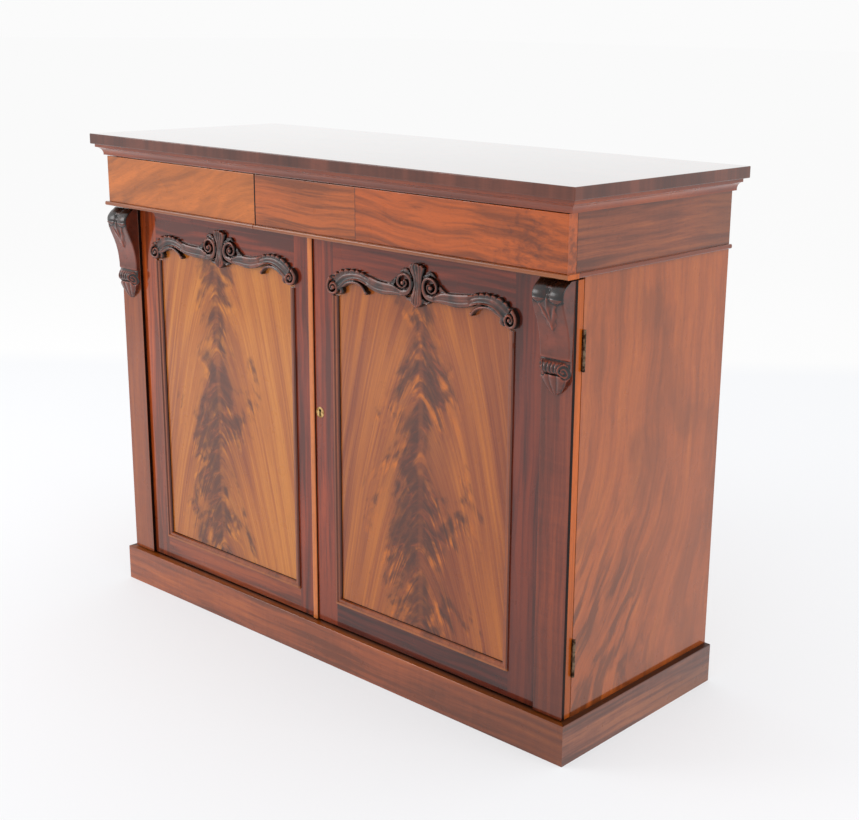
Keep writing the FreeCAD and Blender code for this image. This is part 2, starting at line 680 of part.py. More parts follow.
def build_panel_beads(word, x_low, x_high):
    """Three mitred lengths of bead that stand on the panel inside its frame."""
    panel_face = f"({door_face} + panel_set)"
    section = [
        ("0", "0"),
        ("panel_bead_wide", "0"),
        ("panel_bead_wide - panel_bead_foot", "panel_bead_slope"),
        ("panel_bead_step", "panel_bead_wall"),
        ("panel_bead_edge + panel_bead_crest", "panel_bead_high"),
        ("panel_bead_edge", "panel_bead_high"),
        ("0", "panel_bead_wall"),
    ]
    bead_top = f"({opening_top} - crest_drop - panel_bead_top)"
    upright = f"({bead_top} - {opening_low})"
    size = "panel_bead_wide * 3"
    y = f"({panel_face} - panel_bead_wide * 2)"
    runs = {
        "left": (FreeCAD.Rotation(V(1, 0, 0), V(0, -1, 0), V(0, 0, -1), "ZXY"), upright,
                 x_low, bead_top, ((x_low, 45),)),
        "right": (FreeCAD.Rotation(V(-1, 0, 0), V(0, -1, 0), V(0, 0, 1), "ZXY"), upright,
                  x_high, opening_low, ((x_high, -135),)),
        "bottom": (FreeCAD.Rotation(V(0, 0, 1), V(0, -1, 0), V(1, 0, 0), "ZXY"), f"({x_high} - {x_low})",
                   x_low, opening_low, ((x_low, -45), (x_high, -45))),
    }
    beads = []
    for place, (turn, length, x, z, mitres) in runs.items():
        name = f"{word}_panel_bead_{place}"
        run, pad = moulding(name, section, length)
        put(run, x, panel_face, z, turn)
        cutters = []
        for number, (corner, degrees) in enumerate(mitres):
            cutters.append(mitre(f"{name}_mitre_{number}", corner, y, opening_low, size,
                                 FreeCAD.Rotation(V(0, 1, 0), degrees)))
        beads.append(less(name + "_cut", run, cutters))
    node(group(f"{word}_panel_beads_group", beads), f"{word}_door_panel_beads")


def build_door(side):
    word = side_words(side)
    outer_edge = side_out if side > 0 else f"-{side_out}"
    if side > 0:
        x_open = (f"({right_edge} + right_inner_stile)", f"({side_out} - right_outer_stile)")
        meeting_x = (right_edge, x_open[0])
        hinge_x = (x_open[1], outer_edge)
    else:
        x_open = (f"(-{side_out} + left_outer_stile)", f"({left_edge} - left_inner_stile)")
        meeting_x = (x_open[1], left_edge)
        hinge_x = (outer_edge, x_open[0])
    frame_y = (door_face, door_back)
    whole_z = (door_bottom, door_top)
    rails_z = {"bottom": (door_bottom, opening_low), "top": (opening_top, door_top)}

    panel_y = (f"({door_face} + panel_set)", f"({door_face} + panel_set + panel_thick)")
    panel = board(f"{word}_panel_board", (f"({x_open[0]} - panel_tongue)", f"({x_open[1]} + panel_tongue)"),
                  panel_y, (f"({opening_low} - panel_tongue)", f"({opening_top} + panel_tongue)"))
    node(panel, f"{word}_door_panel")

    middle = f"({door_face} + door_thick / 2)"
    tenon_y = (f"({middle} - tenon_thick / 2)", f"({middle} + tenon_thick / 2)")
    mortises = {"left": [], "right": []}
    for place, z in rails_z.items():
        tenon_z = (f"({z[0]} + tenon_shoulder)", f"({z[1]} - tenon_shoulder)")
        tenons = []
        for end, x in (("left", (f"({x_open[0]} - tenon_long)", x_open[0])),
                       ("right", (x_open[1], f"({x_open[1]} + tenon_long)"))):
            tenons.append(board(f"{word}_{place}_rail_tenon_{end}", x, tenon_y, tenon_z))
            mortises[end].append(board(f"{word}_{place}_mortise_{end}", x, tenon_y, tenon_z))
        bar = board(f"{word}_{place}_rail_bar", x_open, frame_y, z)
        rail = fused(f"{word}_{place}_rail_whole", [bar] + tenons)
        node(less(f"{word}_{place}_rail_cut", rail, [panel]), f"{word}_door_{place}_rail")

    def front_edges(a, b):
        return max(a.y, b.y) < NEAR and abs(a.z - b.z) > NEAR

    def free_edge(a, b):
        return front_edges(a, b) and min(a.x, b.x) > NEAR

    hinge_end = "right" if side > 0 else "left"
    meeting_end = "left" if side > 0 else "right"
    hinge_stile = board(f"{word}_hinge_stile_board", hinge_x, frame_y, whole_z)
    seats = leaf_seats(f"{word}_door", side, f"({door_back} - leaf_thick)", door_back)
    node(less(f"{word}_hinge_stile_cut", hinge_stile, mortises[hinge_end] + seats + [panel]),
         f"{word}_door_hinge_stile")
    cutters = mortises[meeting_end] + [panel]
    if side < 0:
        meeting_stile = soft_board("left_meeting_stile_board", meeting_x, frame_y, whole_z,
                                   "frame_soft", free_edge)
    else:
        meeting_stile = board("right_meeting_stile_board", meeting_x, frame_y, whole_z)
        cutters.append(keyhole("stile_keyhole", "keyhole_room", door_face, "door_thick"))
        cutters.append(rod("escutcheon_seat", "escutcheon_radius", "escutcheon_thick",
                           keyhole_x, f"({door_face} - escutcheon_proud)", keyhole_z, TO_BACK))
    node(less(f"{word}_meeting_stile_cut", meeting_stile, cutters), f"{word}_door_meeting_stile")

    build_panel_beads(word, *x_open)

    pilaster_x = mirrored(side, f"({side_out} - pilaster_wide)", side_out)
    node(soft_board(f"{word}_pilaster_board", pilaster_x, (pilaster_face, door_face), whole_z,
                    "frame_soft", front_edges), f"{word}_door_pilaster")
    inset = "((pilaster_wide - corbel_wide) / 2)"
    node(shaped(f"{word}_corbel_shape", corbel_shape(), f"({pilaster_x[0]} + {inset})", pilaster_face,
                f"({door_top} - corbel_low)"), f"{word}_door_corbel")
    crest_width = measured(f"{x_open[1]} - {x_open[0]} + crest_past * 2")
    crest_middle = f"(({x_open[0]} + {x_open[1]}) / 2)"
    node(shaped(f"{word}_crest_shape", crest_shape(crest_width), crest_middle, door_face, opening_top),
         f"{word}_door_crest")


# Astragal strip, lock and door bolts

def build_right_fittings():
    strip_x = (right_edge, f"({right_edge} + strip_wide)")

    def front_long(a, b):
        return max(a.y, b.y) < NEAR and abs(a.z - b.z) > NEAR

    node(soft_board("astragal_board", strip_x, (f"({door_face} - strip_proud)", door_face),
                    (door_bottom, door_top), "strip_round", front_long), "right_door_astragal")

    plate = rod("escutcheon_plate", "escutcheon_radius", "escutcheon_thick",
                keyhole_x, f"({door_face} - escutcheon_proud)", keyhole_z, TO_BACK)
    hole = keyhole("escutcheon_keyhole", "0", f"({door_face} - escutcheon_proud)", "escutcheon_thick")
    node(less("escutcheon_cut", plate, [hole]), "right_door_escutcheon")

    lock_x = f"({right_edge} + lock_edge)"
    channel_y = (f"({door_back} + lock_wall)", f"({door_back} + lock_wall + lock_bolt_thick + slide_play * 2)")
    bolt_z = f"({keyhole_z} + lock_bolt_rise)"
    channel_z = (f"({bolt_z} - slide_play)", f"({bolt_z} + lock_bolt_high + slide_play)")
    case_box = board("lock_case_box", (lock_x, f"({lock_x} + lock_wide)"),
                     (door_back, f"({door_back} + lock_deep)"),
                     (f"({keyhole_z} - lock_high / 2)", f"({keyhole_z} + lock_high / 2)"))
    channel = board("lock_channel", (lock_x, f"({lock_x} + lock_bolt_long + slide_play * 2)"),
                    channel_y, channel_z)
    key_room = keyhole("lock_keyhole", "keyhole_room", door_back, "(lock_deep - lock_wall)")
    node(less("lock_case_cut", case_box, [channel, key_room]), "right_door_lock_case")
    bolt = board("lock_bolt_bar", (f"({lock_x} + slide_play)", f"({lock_x} + slide_play + lock_bolt_long)"),
                 (f"({channel_y[0]} + slide_play)", f"({channel_y[1]} - slide_play)"),
                 (bolt_z, f"({bolt_z} + lock_bolt_high)"))
    node(bolt, "lock_bolt")

    keeper_x = (f"({left_edge} - keeper_edge - keeper_wide)", f"({left_edge} - keeper_edge)")
    keeper = board("keeper_box", keeper_x, (door_back, f"({door_back} + lock_deep)"),
                   (f"({channel_z[0]} - keeper_lip)", f"({channel_z[1]} + keeper_lip)"))
    pocket = board("keeper_pocket", (f"({keeper_x[0]} + lock_wall)", keeper_x[1]), channel_y, channel_z)
    return less("keeper_cut", keeper, [pocket])


def door_bolt(name, up, end_z):
    """A rod with its knob, and its housing, for a bolt whose drawn-back end stands at a height."""

    def above(start, length):
        """A stretch of z that begins a distance back from the rod's end."""
        far = f"({end_z} - {start})" if up else f"({end_z} + {start} + {length})"
        near = f"({end_z} - {start} - {length})" if up else f"({end_z} + {start})"
        return near, far

    rod_z = above("0", "bolt_long")
    housing_z = above("housing_end", "housing_high")
    knob_back = "(housing_end + housing_high / 2 + bolt_throw / 2)"
    knob_z = f"({end_z} - {knob_back})" if up else f"({end_z} + {knob_back})"
    bar = rod(f"{name}_bar", "bolt_radius", "bolt_long", bolt_x, bolt_y, rod_z[0])
    knob = rod(f"{name}_knob", "knob_radius", "knob_long", bolt_x, bolt_y, knob_z, TO_BACK)
    node(fused(f"{name}_whole", [bar, knob]), name)

    room = "(knob_radius + knob_play)"
    slot_z = above(f"({knob_back} - bolt_throw - {room})", f"(bolt_throw + {room} * 2)")
    box = board(f"{name}_housing_box", (f"({bolt_x} - housing_wide / 2)", f"({bolt_x} + housing_wide / 2)"),
                (door_back, f"({door_back} + housing_deep)"), housing_z)
    bore = rod(f"{name}_bore", "bolt_radius + bolt_play", "housing_high", bolt_x, bolt_y, housing_z[0])
    slot = board(f"{name}_slot", (f"({bolt_x} - {room})", f"({bolt_x} + {room})"),
                 (bolt_y, f"({door_back} + housing_deep)"), slot_z)
    return less(f"{name}_housing", box, [bore, slot])


# Drawers

def build_drawer(side, x_front, x_room):
    word = side_words(side)
    name = f"{word}_drawer"
    front_y = (f"({frieze_front} - drawer_front_thick)", frieze_front)
    low = f"({drawer_floor} + drawer_lift)"
    side_z = (low, f"({low} + drawer_side_high)")
    bottom_z = (f"({low} + drawer_bottom_up)", f"({low} + drawer_bottom_up + drawer_bottom_thick)")
    outer = (f"({x_room[0]} + drawer_play)", f"({x_room[1]} - drawer_play)")
    inner = (f"({outer[0]} + drawer_side_thick)", f"({outer[1]} - drawer_side_thick)")

    bottom = board(f"{name}_bottom_board", (f"({inner[0]} - drawer_groove)", f"({inner[1]} + drawer_groove)"),
                   (f"({frieze_front} - drawer_groove)", drawer_end), bottom_z)
    node(bottom, f"{name}_bottom")

    def front_edges(a, b):
        return max(a.y, b.y) < NEAR

    slab = soft_board(f"{name}_front_board", x_front, front_y,
                      (f"({frieze_low} + bead_high)", f"({cornice_low} - drawer_gap)"), "drawer_soft", front_edges)
    node(less(f"{name}_front_cut", slab, [bottom]), f"{name}_front")

    def front_long(a, b):
        return max(a.y, b.y) < NEAR and abs(a.x - b.x) > NEAR

    past = " + bead_proud" if side > 0 else " - bead_proud"
    bead_x = (x_front[0], x_front[1] + past) if side > 0 else (x_front[0] + past, x_front[1])
    node(soft_board(f"{name}_bead_board", bead_x, (f"({front_y[0]} - bead_proud)", frieze_front),
                    (frieze_low, f"({frieze_low} + bead_high)"), "bead_round", front_long), f"{name}_bead")

    for place, x in (("left", (outer[0], inner[0])), ("right", (inner[1], outer[1]))):
        panel = board(f"{name}_side_{place}_board", x, (frieze_front, drawer_end), side_z)
        node(less(f"{name}_side_{place}_cut", panel, [bottom]), f"{name}_side_{place}")
    node(board(f"{name}_back_board", inner, (f"({drawer_end} - drawer_side_thick)", drawer_end),
               (bottom_z[1], f"({side_z[1]} - drawer_back_low)")), f"{name}_back")


build_top()
build_case()
build_plinth()
build_hinges()
build_door(-1)
build_door(1)
keeper = build_right_fittings()
housings = [
    door_bolt("top_bolt", True, f"({stop_rail_low} - bolt_clear)"),
    door_bolt("bottom_bolt", False, "(plinth_high + bolt_clear)"),
]
node(group("left_fittings_group", housings + [keeper]), "left_door_fittings")
split_left = "(-drawer_split - drawer_gap / 2)"
split_right = "(-drawer_split + drawer_gap / 2)"
build_drawer(-1, (f"-{side_out}", split_left), (f"-{side_in}", "(-drawer_split - divider_thick / 2)"))
build_drawer(1, (split_right, side_out), ("(-drawer_split + divider_thick / 2)", side_in))
sheet.set("E1", "")
doc.recompute()

for item in doc.Objects:
    if "Invalid" in item.State or "Error" in item.State:
        raise RuntimeError(f"{item.Label} did not build: {item.State}")
for piece in parts:
    if piece.Shape.isNull() or not piece.Shape.isValid() or not piece.Shape.Solids:
        raise RuntimeError(f"{piece.Label} has no sound shape")

os.makedirs("parts", exist_ok=True)
for piece in parts:
    piece.Shape.exportStep(f"parts/{piece.Label}.step")
print(len(parts), "sub-parts")
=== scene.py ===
"""A mahogany side cabinet: carving, brassware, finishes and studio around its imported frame."""
import math

import bmesh
import bpy
import numpy as np
from mathutils import Matrix, Vector


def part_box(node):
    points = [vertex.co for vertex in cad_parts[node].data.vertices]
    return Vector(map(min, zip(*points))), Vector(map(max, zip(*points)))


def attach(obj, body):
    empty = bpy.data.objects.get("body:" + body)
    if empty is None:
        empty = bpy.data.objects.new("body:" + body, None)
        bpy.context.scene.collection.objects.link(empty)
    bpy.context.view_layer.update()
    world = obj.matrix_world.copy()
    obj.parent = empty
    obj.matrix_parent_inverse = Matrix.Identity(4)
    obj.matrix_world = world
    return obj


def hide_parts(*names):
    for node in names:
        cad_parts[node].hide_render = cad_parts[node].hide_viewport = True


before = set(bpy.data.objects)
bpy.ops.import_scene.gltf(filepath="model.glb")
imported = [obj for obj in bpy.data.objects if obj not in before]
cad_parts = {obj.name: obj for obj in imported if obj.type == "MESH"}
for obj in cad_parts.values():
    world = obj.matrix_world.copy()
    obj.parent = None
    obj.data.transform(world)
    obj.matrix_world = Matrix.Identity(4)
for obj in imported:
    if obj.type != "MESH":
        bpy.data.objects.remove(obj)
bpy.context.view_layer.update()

bl_info = {
    "name": "Mahogany side cabinet",
    "version": (1, 0, 0),
    "blender": (4, 5, 0),
    "location": "3D View > Sidebar > Cabinet",
    "description": "Carved crests and corbels, brassware, polished mahogany and a studio",
    "category": "Object",
}

MM = 0.001


# ---------------------------------------------------------------- colours and nodes

def linear(code):
    """Turn an sRGB hex colour to linear light."""
    parts = [int(code[at:at + 2], 16) / 255 for at in (1, 3, 5)]
    return tuple(c / 12.92 if c <= 0.04045 else ((c + 0.055) / 1.055) ** 2.4 for c in parts)


def toned(tint, part):
    """A colour made darker or lighter."""
    return tuple(min(c * part, 1.0) for c in tint[:3])


def wood_tones(tint, low=0.6, high=1.45):
    """Dark, middle and light tones of mahogany: the lighter are more orange."""
    light = tuple(min(c * high * k, 1.0) for c, k in zip(tint, (1.0, 1.12, 0.9)))
    return toned(tint, low), toned(tint, 1.0), light


# Matt black-brown painted shade, for gaps, holes, recesses and sides that the light doesn't reach.
PAINTED_SHADE_BLACK = linear("#160805")
# Dark brown painted shade, which darkens the wood towards the floor and the wall.
PAINTED_SHADE_BROWN = linear("#2A140C")


def put(tree, node, inputs):
    """Set or link a node's sockets, given by name or by their number among those in use."""
    used = [s for s in node.inputs if s.enabled]
    for key, value in inputs.items():
        socket = used[key] if isinstance(key, int) else next(s for s in used if s.name == key)
        if isinstance(value, bpy.types.Node):
            value = next(s for s in value.outputs if s.enabled)
        if isinstance(value, bpy.types.NodeSocket):
            tree.links.new(value, socket)
        elif socket.type == "RGBA" and len(value) == 3:
            socket.default_value = (*value, 1.0)
        else:
            socket.default_value = value


def add(tree, kind, *inputs, stops=(), **settings):
    """Add one shader node with its links and values, its settings and its ramp's stops. Inputs
    fill its sockets in order. A keyword with a capital is a socket too: From_Min is From Min."""
    made = tree.nodes.new("ShaderNode" + kind)
    sockets = dict(enumerate(inputs))
    for key, value in settings.items():
        if key[0].isupper():
            sockets[key.replace("_", " ")] = value
        else:
            setattr(made, key, value)
    put(tree, made, sockets)
    if stops:
        marks = made.color_ramp.elements
        colours = [c if isinstance(c, tuple) else (c, c, c) for _, c in stops]
        marks[0].position, marks[-1].position = stops[0][0], stops[-1][0]
        marks[0].color, marks[-1].color = (*colours[0], 1.0), (*colours[-1], 1.0)
        for (at, _), colour in list(zip(stops, colours))[1:-1]:
            marks.new(at).color = (*colour, 1.0)
    return made


def new_finish(name):
    """A fresh material, its node tree, its shader and the coordinates it is drawn in."""
    material = bpy.data.materials.new(name)
    material.use_nodes = True
    tree = material.node_tree
    return material, tree, tree.nodes["Principled BSDF"], add(tree, "TexCoord").outputs["Object"]


def streaks(tree, coords, grain, across, along, shift=0.0, detail=3.0, twist=0.0):
    """One layer of streaks, as noise drawn out along the grain. Both sizes are in mm."""
    scale = [1 / ((along if axis == grain else across) * MM) for axis in "XYZ"]
    placed = add(tree, "Mapping", coords, Location=(shift, shift * 1.7, shift * 0.6), Scale=scale)
    return add(tree, "TexNoise", placed, Scale=1.0, Detail=detail, Roughness=0.55,
               Distortion=twist)


def wandering(tree, coords, reach, size, shift=0.0):
    """Coordinates pushed about by slow noise, so that no grain line runs ruler-straight."""
    placed = add(tree, "Mapping", coords, Location=(shift, shift, shift))
    slow = add(tree, "TexNoise", placed, Scale=1 / (size * MM), Detail=1.0)
    push = add(tree, "VectorMath", slow.outputs["Color"], (0.5, 0.5, 0.5), operation="SUBTRACT")
    push = add(tree, "VectorMath", push, Scale=reach * MM, operation="SCALE")
    return add(tree, "VectorMath", coords, push, operation="ADD")


def weigh(tree, layers):
    """Sum of layers about 0.5, each with its weight."""
    total = 0.5 - sum(weight for _, weight in layers) / 2
    for layer, weight in layers:
        total = add(tree, "Math", layer, weight, total, operation="MULTIPLY_ADD")
    return total


# Sizes of mahogany's grain in mm as (across, along): the slow change of tone over a board, the
# streaks between growth layers, and the ripple of a wavy trunk that catches the light.
TONE, LINE, RIPPLE = (48, 520), (8, 260), (70, 11)
# Mahogany's pores are 0.2 mm wide. They are drawn 1.2 mm wide so that they show in the picture.
PORE = (1.2, 15)


def mahogany(tree, coords, grain, tones, shift=0.0, weights=(1.3, 1.0, 0.15), tilt=0.0,
             wander=14, twist=0.2):
    """Colour of mahogany cut with its grain along one axis, from dark, middle and light tones."""
    if tilt:
        coords = add(tree, "Mapping", coords, Rotation=(0.0, tilt, 0.0))
    bent = wandering(tree, coords, wander, 160, shift)
    tone = streaks(tree, bent, grain, *TONE, shift=shift, detail=2.0)
    line = streaks(tree, bent, grain, *LINE, shift=shift + 3, detail=4.0, twist=twist)
    ripple = streaks(tree, bent, grain, *RIPPLE, shift=shift + 7, detail=2.0, twist=0.6)
    mixed = weigh(tree, list(zip((tone, line, ripple), weights)))
    dark, middle, light = tones
    ramp = add(tree, "ValToRGB", mixed, stops=[(0.18, dark), (0.5, middle), (0.84, light)])
    return ramp, line


def pores(tree, coords, grain, shift=0.0):
    """Open pores as short dark dashes along the grain: 1 in a pore, 0 on the wood."""
    dash = streaks(tree, coords, grain, *PORE, shift=shift + 11, detail=1.0)
    return add(tree, "MapRange", dash, From_Min=0.42, From_Max=0.33)


def polish(tree, shader, coords, colour, pore, line, gloss=0.3, rubbed=0.1, clear=0.07,
           pore_shade=0.18, depth=0.04, uneven=0.25, wear=35):
    """French polish over wood: pores a little darker and sunk, and a clear hard skin whose
    gloss is broken by soft wear in the wood under it. Depth, unevenness and the size of the worn
    patches are in mm."""
    dark = add(tree, "Mix", pore_shade, colour, linear("#1E0A05"), data_type="RGBA")
    shade = add(tree, "Mix", pore, colour, dark, data_type="RGBA")
    worn = add(tree, "TexNoise", coords, Scale=1 / (wear * MM), Detail=4.0)
    rough = add(tree, "MapRange", worn, From_Min=0.3, From_Max=0.7, To_Min=gloss - 0.05,
                To_Max=gloss + rubbed)
    ground = add(tree, "Math", pore, -0.7, line, operation="MULTIPLY_ADD")
    bump = add(tree, "Bump", Height=ground, Strength=0.35, Distance=depth * MM)
    skin = add(tree, "Bump", Height=worn, Strength=0.2, Distance=uneven * MM)
    put(tree, shader, {"Base Color": shade, "Roughness": rough, "Normal": bump, "IOR": 1.5,
                       "Specular IOR Level": 0.1, "Coat Weight": 1.0, "Coat Roughness": clear,
                       "Coat IOR": 1.5, "Coat Normal": skin})


def facing(tree, axis, above=0.8, either=False):
    """1 on faces turned along an axis, and against it where either way counts; 0 elsewhere."""
    turned = add(tree, "SeparateXYZ", add(tree, "TexCoord").outputs["Normal"]).outputs[axis]
    if either:
        turned = add(tree, "Math", turned, operation="ABSOLUTE")
    return add(tree, "Math", turned, above, operation="GREATER_THAN")


def away_from(tree, coords, x, z):
    """Distance from a line along Y."""
    level = add(tree, "VectorMath", coords, (1.0, 0.0, 1.0), operation="MULTIPLY")
    return add(tree, "VectorMath", level, (x, 0.0, z), operation="DISTANCE").outputs["Value"]


def in_hole(tree, coords, hole):
    """1 within a round hole along Y, given as its x, z, radius, mouth and foot; 0 elsewhere."""
    x, z, radius, mouth, foot = hole
    near = add(tree, "Math", away_from(tree, coords, x, z), radius, operation="LESS_THAN")
    depth = add(tree, "SeparateXYZ", coords).outputs["Y"]
    depth = add(tree, "Math", depth, (mouth + foot) / 2, (foot - mouth) / 2, operation="COMPARE")
    return add(tree, "Math", near, depth, operation="MULTIPLY")


def polished_board(name, grain, tones, shift=0.0, clear=0.07, ends=None, grime=None, hole=None,
                   dusk=None, **cut):
    """French-polished mahogany, its grain along one axis. Faces square to an axis have a tint
    and skin of their own, given in ends as (axis, tint, weight of the skin). Painted shade, matt
    black-brown without the skin, lies towards a depth on Y in recesses and gaps, and on the wall
    of a hole. Dusk is painted shade that tints the wood gradually along an axis, as (axis, from,
    to, part, tint)."""
    material, tree, shader, coords = new_finish(name)
    colour, line = mahogany(tree, coords, grain, tones, shift, **cut)
    place = add(tree, "SeparateXYZ", coords)
    painted_shade_mask = coat = None
    if ends:
        axis, tint, skin = ends
        square = facing(tree, axis, either=True)
        lit = add(tree, "ValToRGB", line,
                  stops=[(0.3, toned(tint, 0.7)), (0.7, toned(tint, 1.15))])
        colour = add(tree, "Mix", square, colour, lit, data_type="RGBA")
        coat = add(tree, "MapRange", square, To_Min=1.0, To_Max=skin)
    # Painted shade: the wood darkens gradually along an axis.
    if dusk:
        axis, start, end, part, tint = dusk
        shade = add(tree, "MapRange", place.outputs[axis], From_Min=start, From_Max=end,
                    To_Max=part, interpolation_type="SMOOTHSTEP")
        colour = add(tree, "Mix", shade, colour, tint, data_type="RGBA")
    # Painted shade: matt black-brown without the skin towards a depth on Y and on a hole's wall.
    if grime:
        painted_shade_mask = add(tree, "MapRange", place.outputs["Y"], From_Min=grime[0], From_Max=grime[1])
    if hole:
        painted_shade_mask = in_hole(tree, coords, hole)
    if painted_shade_mask:
        colour = add(tree, "Mix", painted_shade_mask, colour, PAINTED_SHADE_BLACK, data_type="RGBA")
        unshaded = add(tree, "Math", 1.0, painted_shade_mask, operation="SUBTRACT")
        coat = add(tree, "Math", unshaded, coat or 1.0, operation="MULTIPLY")
    polish(tree, shader, coords, colour, pores(tree, coords, grain, shift), line, clear=clear)
    if coat:
        put(tree, shader, {"Coat Weight": coat})
    return material


# ---------------------------------------------------------------- wood finishes

# The top's half depth and the width of its crossbanding, in metres.
TOP_HALF_DEPTH, TOP_BAND = 0.2315, 0.045


def top_board_finish(colours):
    """Crossbanded mahogany top, French polished: dark short-grained edges and a glassy face
    that mirrors the light behind it."""
    material, tree, shader, coords = new_finish("crossbanded_mahogany_french_polished")
    tones = toned(colours.top, 0.6), toned(colours.top, 1.0), toned(colours.top, 1.6)
    face, line = mahogany(tree, coords, "X", tones, shift=2.0)
    band_x, _ = mahogany(tree, coords, "Y", tones, shift=5.0, weights=(1.6, 1.1, 0.3))
    edge, _ = mahogany(tree, coords, "Z", tones, shift=9.0, weights=(1.5, 0.5, 0.2))
    place = add(tree, "SeparateXYZ", coords)
    # A band of short grain runs along the front and rear edges of the face.
    off_y = add(tree, "Math", place.outputs["Y"], operation="ABSOLUTE")
    in_band = add(tree, "Math", off_y, TOP_HALF_DEPTH - TOP_BAND, operation="GREATER_THAN")
    flat = facing(tree, "Z")
    face = add(tree, "Mix", in_band, face, band_x, data_type="RGBA")
    colour = add(tree, "Mix", flat, edge, face, data_type="RGBA")
    polish(tree, shader, coords, colour, pores(tree, coords, "X", 2.0), line, gloss=0.12,
           rubbed=0.0, clear=0.05, depth=0.002, uneven=0.02)
    mirror = add(tree, "MapRange", flat, To_Min=0.1, To_Max=1.0)
    put(tree, shader, {"Specular IOR Level": mirror})
    return material


def side_board_finish(tones):
    """Wide mahogany board, French polished: upright grain that leans back near the floor, where
    dark flames of a crotch show at the front edge."""
    material, tree, shader, coords = new_finish("mahogany_side_board_french_polished")
    bent = wandering(tree, wandering(tree, coords, 50, 260, 6.5), 14, 70, 2.0)
    place = add(tree, "SeparateXYZ", bent)
    low = add(tree, "MapRange", place.outputs["Z"], From_Min=0.5, From_Max=0.05,
              interpolation_type="SMOOTHSTEP")
    lean = add(tree, "MapRange", place.outputs["Y"], From_Min=-0.17, From_Max=0.3, To_Min=0.2,
               To_Max=0.0)
    leant = add(tree, "Math", low, lean, place.outputs["Y"], operation="MULTIPLY_ADD")
    drawn = add(tree, "CombineXYZ", place.outputs["X"], leant, place.outputs["Z"])
    colour, line = mahogany(tree, drawn, "Z", tones, 6.5, (1.2, 0.7, 0.1), wander=5)
    # Clouds of a hand's width, where the grain dips and takes more of the stain.
    cloud = streaks(tree, coords, "Z", 110, 200, 3.5, 3.0, 0.6)
    cloud = add(tree, "MapRange", cloud, From_Min=0.5, From_Max=0.7, To_Max=0.5,
                interpolation_type="SMOOTHSTEP")
    colour = add(tree, "Mix", cloud, colour, toned(tones[0], 0.8), data_type="RGBA")
    # Flames 18 mm wide and 120 mm long, strongest low at the front.
    flame = streaks(tree, drawn, "Z", 18, 120, 9.0, 4.0, 0.5)
    front = add(tree, "MapRange", place.outputs["Y"], From_Min=0.1, From_Max=-0.06,
                interpolation_type="SMOOTHSTEP")
    shown = add(tree, "Math", front, low, operation="MULTIPLY")
    shown = add(tree, "MapRange", shown, From_Max=0.6, To_Min=0.12, To_Max=0.8)
    flame = add(tree, "MapRange", flame, From_Min=0.42, From_Max=0.6,
                interpolation_type="SMOOTHSTEP")
    flame = add(tree, "Math", flame, shown, operation="MULTIPLY")
    colour = add(tree, "Mix", flame, colour, toned(tones[0], 0.5), data_type="RGBA")
    polish(tree, shader, coords, colour, pores(tree, coords, "Z", 6.5), line)
    return material


# Of the fan of streaks: how steeply it falls beside the feather, how much steeper with the square
# of the distance, and a square in metres that rounds its ridge.
FAN_SLOPE, FAN_BEND, FAN_ROUND = 1.1, 11.0, 0.00008


